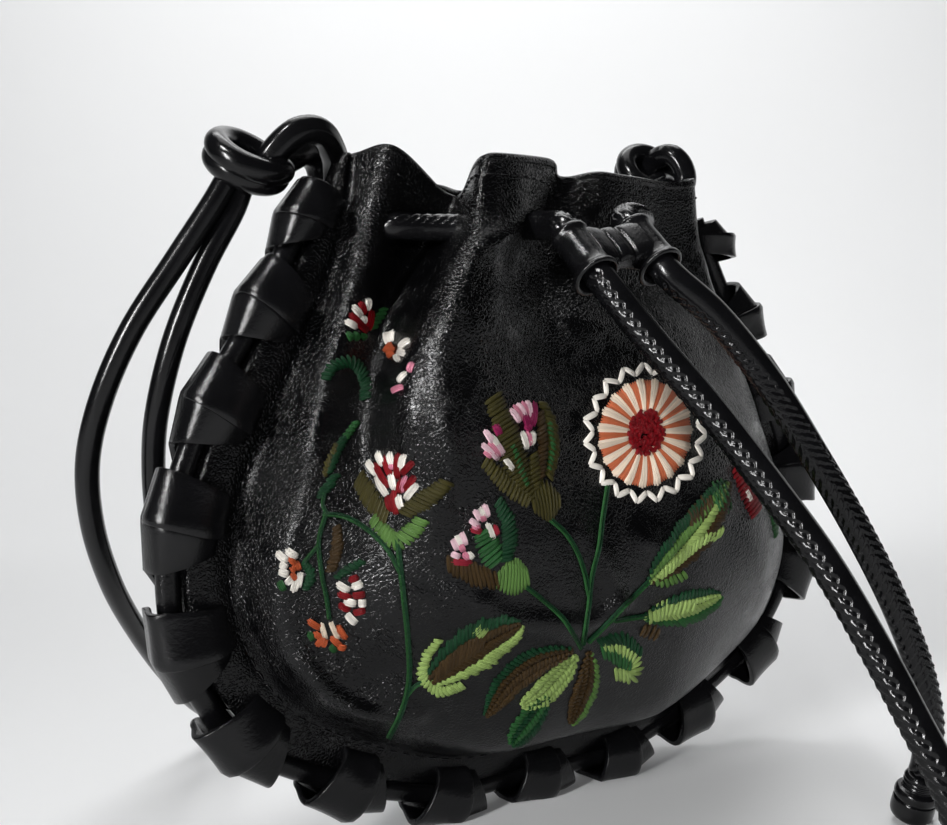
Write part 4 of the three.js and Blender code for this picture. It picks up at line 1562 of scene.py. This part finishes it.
def centre_flowers(work):
    """The daisy, the twin buds and the low bud on one root of stems."""
    work.stem([(607, 487), (602, 520), (598, 550), (591, 580), (588, 610), (583, 642)])
    work.stem([(553, 522), (565, 533), (576, 550), (584, 572), (588, 592)])
    work.stem([(529, 589), (545, 602), (562, 618), (575, 637), (580, 646)])
    work.stem([(590, 640), (612, 618), (630, 600), (647, 583)], 4.6)
    work.stem([(617, 620), (645, 616)], 5)
    work.daisy((645, 433))
    # twin buds: leaves, then petals
    work.plait("olive", [(494, 398), (502, 420), (512, 450), (522, 480), (530, 498)], 22, 75)
    work.plait("olive", [(486, 462), (500, 478), (516, 492), (528, 500)], 15, 70)
    work.plait("green", [(512, 446), (519, 466), (526, 484)], 8, 60, step=5, thread=4, lift=0.12)
    work.plait("brown", [(540, 414), (543, 440), (541, 476)], 10, 60)
    work.plait("olive", [(543, 404), (551, 422), (554, 446), (550, 476)], 12, -50)
    work.plait("green", [(549, 424), (552, 446), (549, 468)], 6, -50, step=5, thread=4, lift=0.12)
    work.plait("olive", [(534, 456), (536, 488)], 12, 60)
    work.satin(
        "olive", [(531, 494), (536, 478), (548, 480), (558, 492)],
        [(536, 514), (546, 521), (552, 522), (559, 510)], 9, 4.6,
    )
    work.bars(
        "magenta", 7.5,
        (494, 423, 500, 437), (534, 401, 532, 427), (521, 408, 529, 428), (524, 424, 531, 431),
    )
    work.bars("pink", 6.5, (484, 450, 492, 458), (488, 442, 500, 458), (527, 430, 529, 447))
    work.bars("pale_pink", 6.2, (484, 429, 493, 444), (481, 443, 499, 460), (494, 440, 504, 456))
    work.bars("white", 5.6, (503, 456, 514, 472), (490, 434, 499, 448))
    work.bars("pale_pink", 5.6, (509, 408, 520, 423), (517, 402, 526, 420), (527, 399, 530, 420))
    work.bars("pink", 4, (513, 404, 523, 421), (522, 400, 528, 420))
    work.bars("white", 6, (521, 430, 527, 450), (533, 430, 531, 446))
    # low bud
    work.plait("brown", [(449, 564), (470, 573), (496, 580)], 20, 60)
    work.plait("dark_green", [(499, 502), (508, 522), (510, 546), (506, 560)], 15, 60)
    work.plait("green", [(484, 532), (488, 545), (496, 562)], 22, 75)
    work.satin(
        "leaf", [(500, 570), (510, 559), (518, 558), (525, 566)],
        [(497, 589), (508, 595), (518, 595), (529, 587)], 10, 4.6,
    )
    work.bars("crimson", 6.5, (447, 561, 473, 563), (470, 529, 483, 532), (494, 524, 497, 536))
    work.bars(
        "pink", 6.5,
        (458, 540, 464, 552), (462, 552, 470, 560), (479, 510, 485, 522), (471, 526, 481, 528),
    )
    work.bars("pale_pink", 6.4, (484, 503, 488, 518), (474, 509, 481, 521), (469, 519, 480, 527))
    work.bars("white", 6, (487, 522, 494, 540), (480, 506, 485, 520))
    work.bars("pale_pink", 6.4, (461, 531, 466, 546), (452, 538, 458, 551), (450, 553, 461, 557))
    work.bars("white", 6, (467, 551, 474, 559), (456, 534, 462, 548))


def low_leaves(work):
    """The leaves at the root of the stems, and those on the right."""
    work.leaf(
        [(572, 650), (542, 660), (512, 680), (487, 713)], 17, ("brown", "brown"),
        ("brown", "dark_green"),
    )
    work.leaf([(548, 696), (532, 718), (513, 742)], 15, ("green", "dark_green"), ("dark_green", "green"))
    light = ("light_green", "light_green")
    work.leaf([(576, 656), (558, 678), (540, 696), (524, 704)], 15, light, light)
    work.leaf([(589, 652), (588, 680), (580, 704), (572, 721)], 14, ("brown", "leaf"), ("brown", "brown"))
    work.plait("dark_green", [(602, 643), (622, 639), (641, 652)], 12, 60)
    work.plait("green", [(604, 652), (617, 656), (630, 664)], 17, 60)
    curl = [(604, 647), (622, 651), (634, 662), (632, 676), (616, 674)]
    work.plait("light_green", curl, 14, 70, step=4.0)
    # fern on the right
    fern = [(649, 582), (678, 552), (704, 520), (726, 484)]
    work.leaf(fern, 22, ("leaf", "dark_green"), ("light_green", "brown"))
    fern_light = [(662, 574), (682, 556), (704, 540), (720, 532)]
    work.plait("light_green", fern_light, 15, -38, step=4.6, thread=5.2, lift=0.14)
    work.plait("leaf", [(656, 582), (670, 580), (684, 575)], 9, 80, step=4.6, thread=4.8, lift=0.1)
    work.plait("brown", [(690, 520), (700, 511), (710, 500)], 18, -55, lift=0.1)
    work.plait("green", [(716, 502), (726, 494)], 28, 110, step=4.2, lift=0.1)
    # small leaf under it
    small_leaf = [(644, 617), (668, 613), (694, 606), (718, 596)]
    work.leaf(small_leaf, 19, ("light_green", "dark_green"), ("light_green", "green"))
    small_light = [(650, 617), (664, 610), (678, 608), (692, 606)]
    work.plait("light_green", small_light, 15, -65, step=4.6, thread=5.2, lift=0.14)
    work.plait("brown", [(643, 630), (657, 634)], 14, 100)
    # big leaf on the left
    big_leaf = [(426, 684), (450, 666), (480, 646), (518, 625)]
    work.leaf(big_leaf, 27, ("brown", "dark_green"), ("brown", "light_green"))
    work.plait("brown", [(436, 676), (456, 660), (482, 644)], 15, -45, lift=0.1)
    border = [(438, 641), (426, 658), (423, 676), (438, 691), (462, 686)]
    work.plait("light_green", border, 10, 60, thread=5.2, lift=0.1)
    work.bars("light_green", 6, (470, 637, 484, 622), (476, 640, 490, 623))
    work.stem([(408, 694), (415, 686), (422, 682)], 4)
    # the flower that turns away on the right
    work.plait("green", [(748, 462), (762, 486), (772, 512), (776, 534)], 8, 40)
    work.plait("red", [(739, 466), (748, 490), (757, 512)], 17, 60)
    work.bars("white", 4.6, (733, 447, 738, 459), (743, 486, 752, 505))


def left_flowers(work):
    """The carnation with its stem, and the small flowers of the left side."""
    work.stem([(398, 541), (400, 562), (404, 600), (408, 640), (409, 680), (402, 710), (390, 735)], 5.6)
    work.stem([(326, 514), (345, 517), (368, 530), (388, 550), (400, 572)])
    work.stem([(326, 514), (319, 540), (322, 575), (327, 600), (329, 616)], 4.6)
    work.stem([(316, 548), (306, 560)], 4)
    work.stem([(324, 495), (323, 505), (327, 514)], 4)
    work.plait("olive", [(359, 479), (372, 500), (386, 517)], 19, 60)
    work.plait("olive", [(446, 483), (428, 497), (405, 513)], 18, 60)
    work.plait("leaf", [(374, 518), (384, 532), (397, 541), (410, 533), (422, 520)], 15, 70)
    work.bars(
        "red", 7,
        (374, 462, 389, 488), (384, 455, 392, 478), (398, 452, 398, 480), (394, 488, 396, 515),
        (414, 461, 401, 475), (416, 475, 404, 492), (387, 494, 392, 512), (403, 478, 399, 494),
    )
    work.bars(
        "white", 7.6,
        (366, 460, 377, 475), (377, 451, 384, 466), (389, 451, 394, 467), (404, 453, 401, 474),
        (376, 475, 387, 496), (391, 470, 395, 491), (418, 483, 405, 500), (398, 493, 402, 510),
    )
    work.bars("pink", 5, (406, 475, 402, 493), (391, 462, 394, 470))
    # white and orange flower
    work.plait("dark_green", [(304, 562), (311, 576), (306, 588)], 9, 60)
    work.bars("green", 7, (279, 580, 285, 591))
    work.bars(
        "white", 8,
        (276, 551, 288, 562), (285, 549, 298, 558), (278, 570, 289, 575), (293, 593, 297, 577),
    )
    work.bars("white", 7, (301, 571, 298, 588), (279, 563, 288, 568), (285, 585, 293, 576))
    work.bars(
        "orange", 6,
        (288, 556, 297, 566), (295, 560, 300, 571), (289, 568, 297, 570), (291, 572, 297, 582),
    )
    # striped bud
    work.plait("dark_green", [(362, 562), (350, 568), (338, 577)], 9, 50)
    work.bars(
        "red", 7,
        (348, 581, 359, 577), (337, 593, 352, 598), (351, 596, 366, 594), (338, 604, 351, 610),
        (352, 613, 366, 610),
    )
    work.bars(
        "white", 8,
        (336, 583, 350, 591), (351, 588, 363, 583), (343, 600, 357, 604), (357, 603, 367, 603),
        (346, 613, 357, 624),
    )
    # orange flower
    work.bars("green", 6.5, (308, 631, 314, 641), (329, 645, 337, 652))
    work.bars(
        "orange", 6.6,
        (307, 620, 322, 629), (316, 647, 325, 634), (322, 648, 326, 638), (347, 640, 337, 625),
        (336, 646, 347, 648), (313, 632, 322, 638), (330, 636, 341, 646),
    )
    work.bars("cream", 5.4, (321, 622, 326, 640), (330, 621, 339, 640))
    work.plait("brown", [(337, 528), (337, 550), (331, 570)], 11, 60)
    # vine with its leaves, up to the neck
    work.plait("green", [(356, 423), (346, 437)], 8, 40)
    work.plait("dark_green", [(344, 438), (335, 456), (329, 472)], 10, 45)
    work.plait("olive", [(336, 446), (329, 462), (325, 474)], 7, -45)
    work.plait("dark_green", [(335, 476), (328, 486), (322, 496)], 11, 45)
    hook = [(326, 378), (334, 366), (350, 362), (361, 371), (366, 386), (365, 398)]
    work.plait("dark_green", hook, 12, 65)
    work.bars("green", 6, (347, 331, 352, 341), (354, 331, 358, 341), (361, 333, 366, 340))
    work.plait("green", [(384, 310), (374, 327)], 9, 45)
    work.bars(
        "red", 7,
        (349, 313, 366, 331), (360, 300, 364, 316), (372, 309, 368, 331), (356, 322, 368, 332),
    )
    work.bars(
        "white", 7,
        (344, 320, 358, 328), (352, 305, 362, 318), (368, 297, 367, 311), (362, 314, 364, 325),
        (385, 331, 389, 345), (393, 329, 391, 342), (410, 339, 399, 349), (406, 354, 397, 351),
    )
    work.bars("white", 6, (399, 362, 396, 354))
    work.bars("orange", 6.5, (382, 350, 395, 348), (388, 341, 393, 352), (386, 357, 394, 352))
    work.bars("pink", 6, (413, 361, 409, 373), (404, 386, 391, 392))
    work.bars("white", 5.6, (407, 371, 398, 383))


# The studio


def area_light(name, place, aim, size, power, spread=180, mirrored=True, spreads=True):
    """A rectangle of light. spread: its cone in degrees. mirrored: glossy surfaces show it. spreads: it
    lights matt surfaces."""
    bpy.ops.object.light_add(type="AREA", location=place)
    light = bpy.context.object
    light.name = name
    light.data.shape = "RECTANGLE"
    light.data.size, light.data.size_y = size
    light.data.energy = power
    light.data.spread = math.radians(spread)
    light.visible_glossy = mirrored
    light.visible_diffuse = spreads
    light.rotation_euler = (Vector(place) - Vector(aim)).to_track_quat("Z", "Y").to_euler()


SWEEP = {"half_width": 3000, "near": -1500, "far": 420, "radius": 900, "height": 2600}
SWEEP |= {"columns": 4, "rows": 240}


def studio():
    """A pale floor that sweeps up behind the bag, a tall key from the left, a broad top light and helpers.

    The fill lights the embroidery and the leather doesn't mirror it; the glint is only mirrored.
    """
    ahead = unit((-BACK.x, -BACK.y, 0))
    aside = np.array((ahead[1], -ahead[0], 0))
    flat = SWEEP["far"] - SWEEP["near"]
    bend = SWEEP["radius"] * math.pi / 2
    run = flat + bend + SWEEP["height"] - SWEEP["radius"]

    def place(u, v):
        travelled = v * run
        turned = np.clip((travelled - flat) / SWEEP["radius"], 0, math.pi / 2)
        on = SWEEP["near"] + np.minimum(travelled, flat) + SWEEP["radius"] * np.sin(turned)
        up = SWEEP["radius"] * (1 - np.cos(turned)) + np.maximum(travelled - flat - bend, 0)
        across = (u - 0.5) * 2 * SWEEP["half_width"]
        return across[:, None] * aside + on[:, None] * ahead + up[:, None] * np.array((0, 0, 1))

    floor = shaped_grid("floor", SWEEP["columns"], SWEEP["rows"], place)
    floor.data.materials.append(pale_floor("studio_floor"))
    world = bpy.data.worlds.new("studio")
    bpy.context.scene.world = world
    world.use_nodes = True
    background = world.node_tree.nodes["Background"]
    background.inputs["Color"].default_value = (0.95, 0.97, 1, 1)
    background.inputs["Strength"].default_value = 0.03
    bag = (0, 0, 0.08)
    area_light("key", (-0.75, -0.28, 0.27), bag, (0.07, 0.35), 0.6, 50)
    area_light("side", (0.95, 0.05, 0.3), bag, (0.25, 0.5), 0.03, 60)
    area_light("overhead", (0.25, 0.4, 2.2), (0.2, 0.3, 0), (1.4, 1.4), 12.4)
    area_light("fill", (-0.55, -0.86, 0.16), (0, -0.02, 0.08), (0.1, 0.1), 0.14, 26, mirrored=False)
    area_light("glint", (-0.6, -0.25, 0.85), bag, (0.1, 0.1), 0.12, 26, spreads=False)
    area_light("wall", (0.35, 0.6, 1.6), (0.9, 1.5, 0.45), (1.4, 0.5), 17)
    bpy.context.scene.view_settings.view_transform = "Standard"


def build():
    """Makes the camera, the cords, the rest of the bag and the studio."""
    make_camera()
    panel_leather = crinkled_leather("panel_leather")
    strip_leather = smooth_leather("strip_leather", (0.0022, 0.0022, 0.0025), 0.2, 0.08)
    cord_leather = smooth_leather("cord_leather", (0.002, 0.002, 0.0023), 0.2, 0.03)
    strap_strand("strap_outer", "strap_strand_outer", STRAND_OUTER, cord_leather)
    strap_strand("strap_inner", "strap_strand_inner", STRAND_INNER, cord_leather)
    knob_left = end_knob("knob_left", "drawstring_end_left", END_LEFT, cord_leather)
    knob_right = end_knob("knob_right", "drawstring_end_right", END_RIGHT, cord_leather)
    left_route = tail_route(-1, TAIL_LEFT, END_LEFT)
    right_route = tail_route(1, TAIL_RIGHT, END_RIGHT)
    toward_left = tuple(-0.95 * RIGHT + 0.1 * BACK - 0.25 * UP)
    behind = tuple(-0.7 * RIGHT - 0.7 * BACK)
    toward_eye = tuple(0.1 * RIGHT + 0.95 * BACK)
    faces_left, turns = [toward_left] * 2, [behind, toward_left, *[toward_eye] * 3]
    drawstring_tail("tail_left", "drawstring_tail_left", left_route, faces_left, cord_leather)
    drawstring_tail("tail_right", "drawstring_tail_right", right_route, turns, cord_leather)
    neck = laced_cord("neck_cord", neck_route, BRAID_DIAMETER, [(0, 0, 1), (0, 0, 1)])
    finish_piece(neck, cord_leather, "cord_leather", "drawstring_neck")
    keeper(strip_leather)
    strap_knot("knot_left", "strap_knot_left", KNOT_LEFT, cord_leather)
    strap_knot("knot_right", "strap_knot_right", KNOT_RIGHT, cord_leather)
    front = panel("front_leather", FRONT_FOLDS, -1)
    finish_piece(front, panel_leather, "black_leather", "front_panel")
    back = panel("back_leather", BACK_FOLDS, 1)
    finish_piece(back, panel_leather, "black_leather", "back_panel")
    for name, folds, side in (("front", FRONT_FOLDS, -1), ("back", BACK_FOLDS, 1)):
        hem(name + "_hem", folds, side, panel_leather)
        rim_sewing(name + "_rim_sewing", folds, side, cord_leather)
        seam_sewing(name + "_seam_sewing", side, cord_leather)
    work = Needlework(front)
    centre_flowers(work)
    low_leaves(work)
    left_flowers(work)
    work.pieces()
    edge_lacing(strip_leather)
    edge_cord(strip_leather)
    studio()


build()
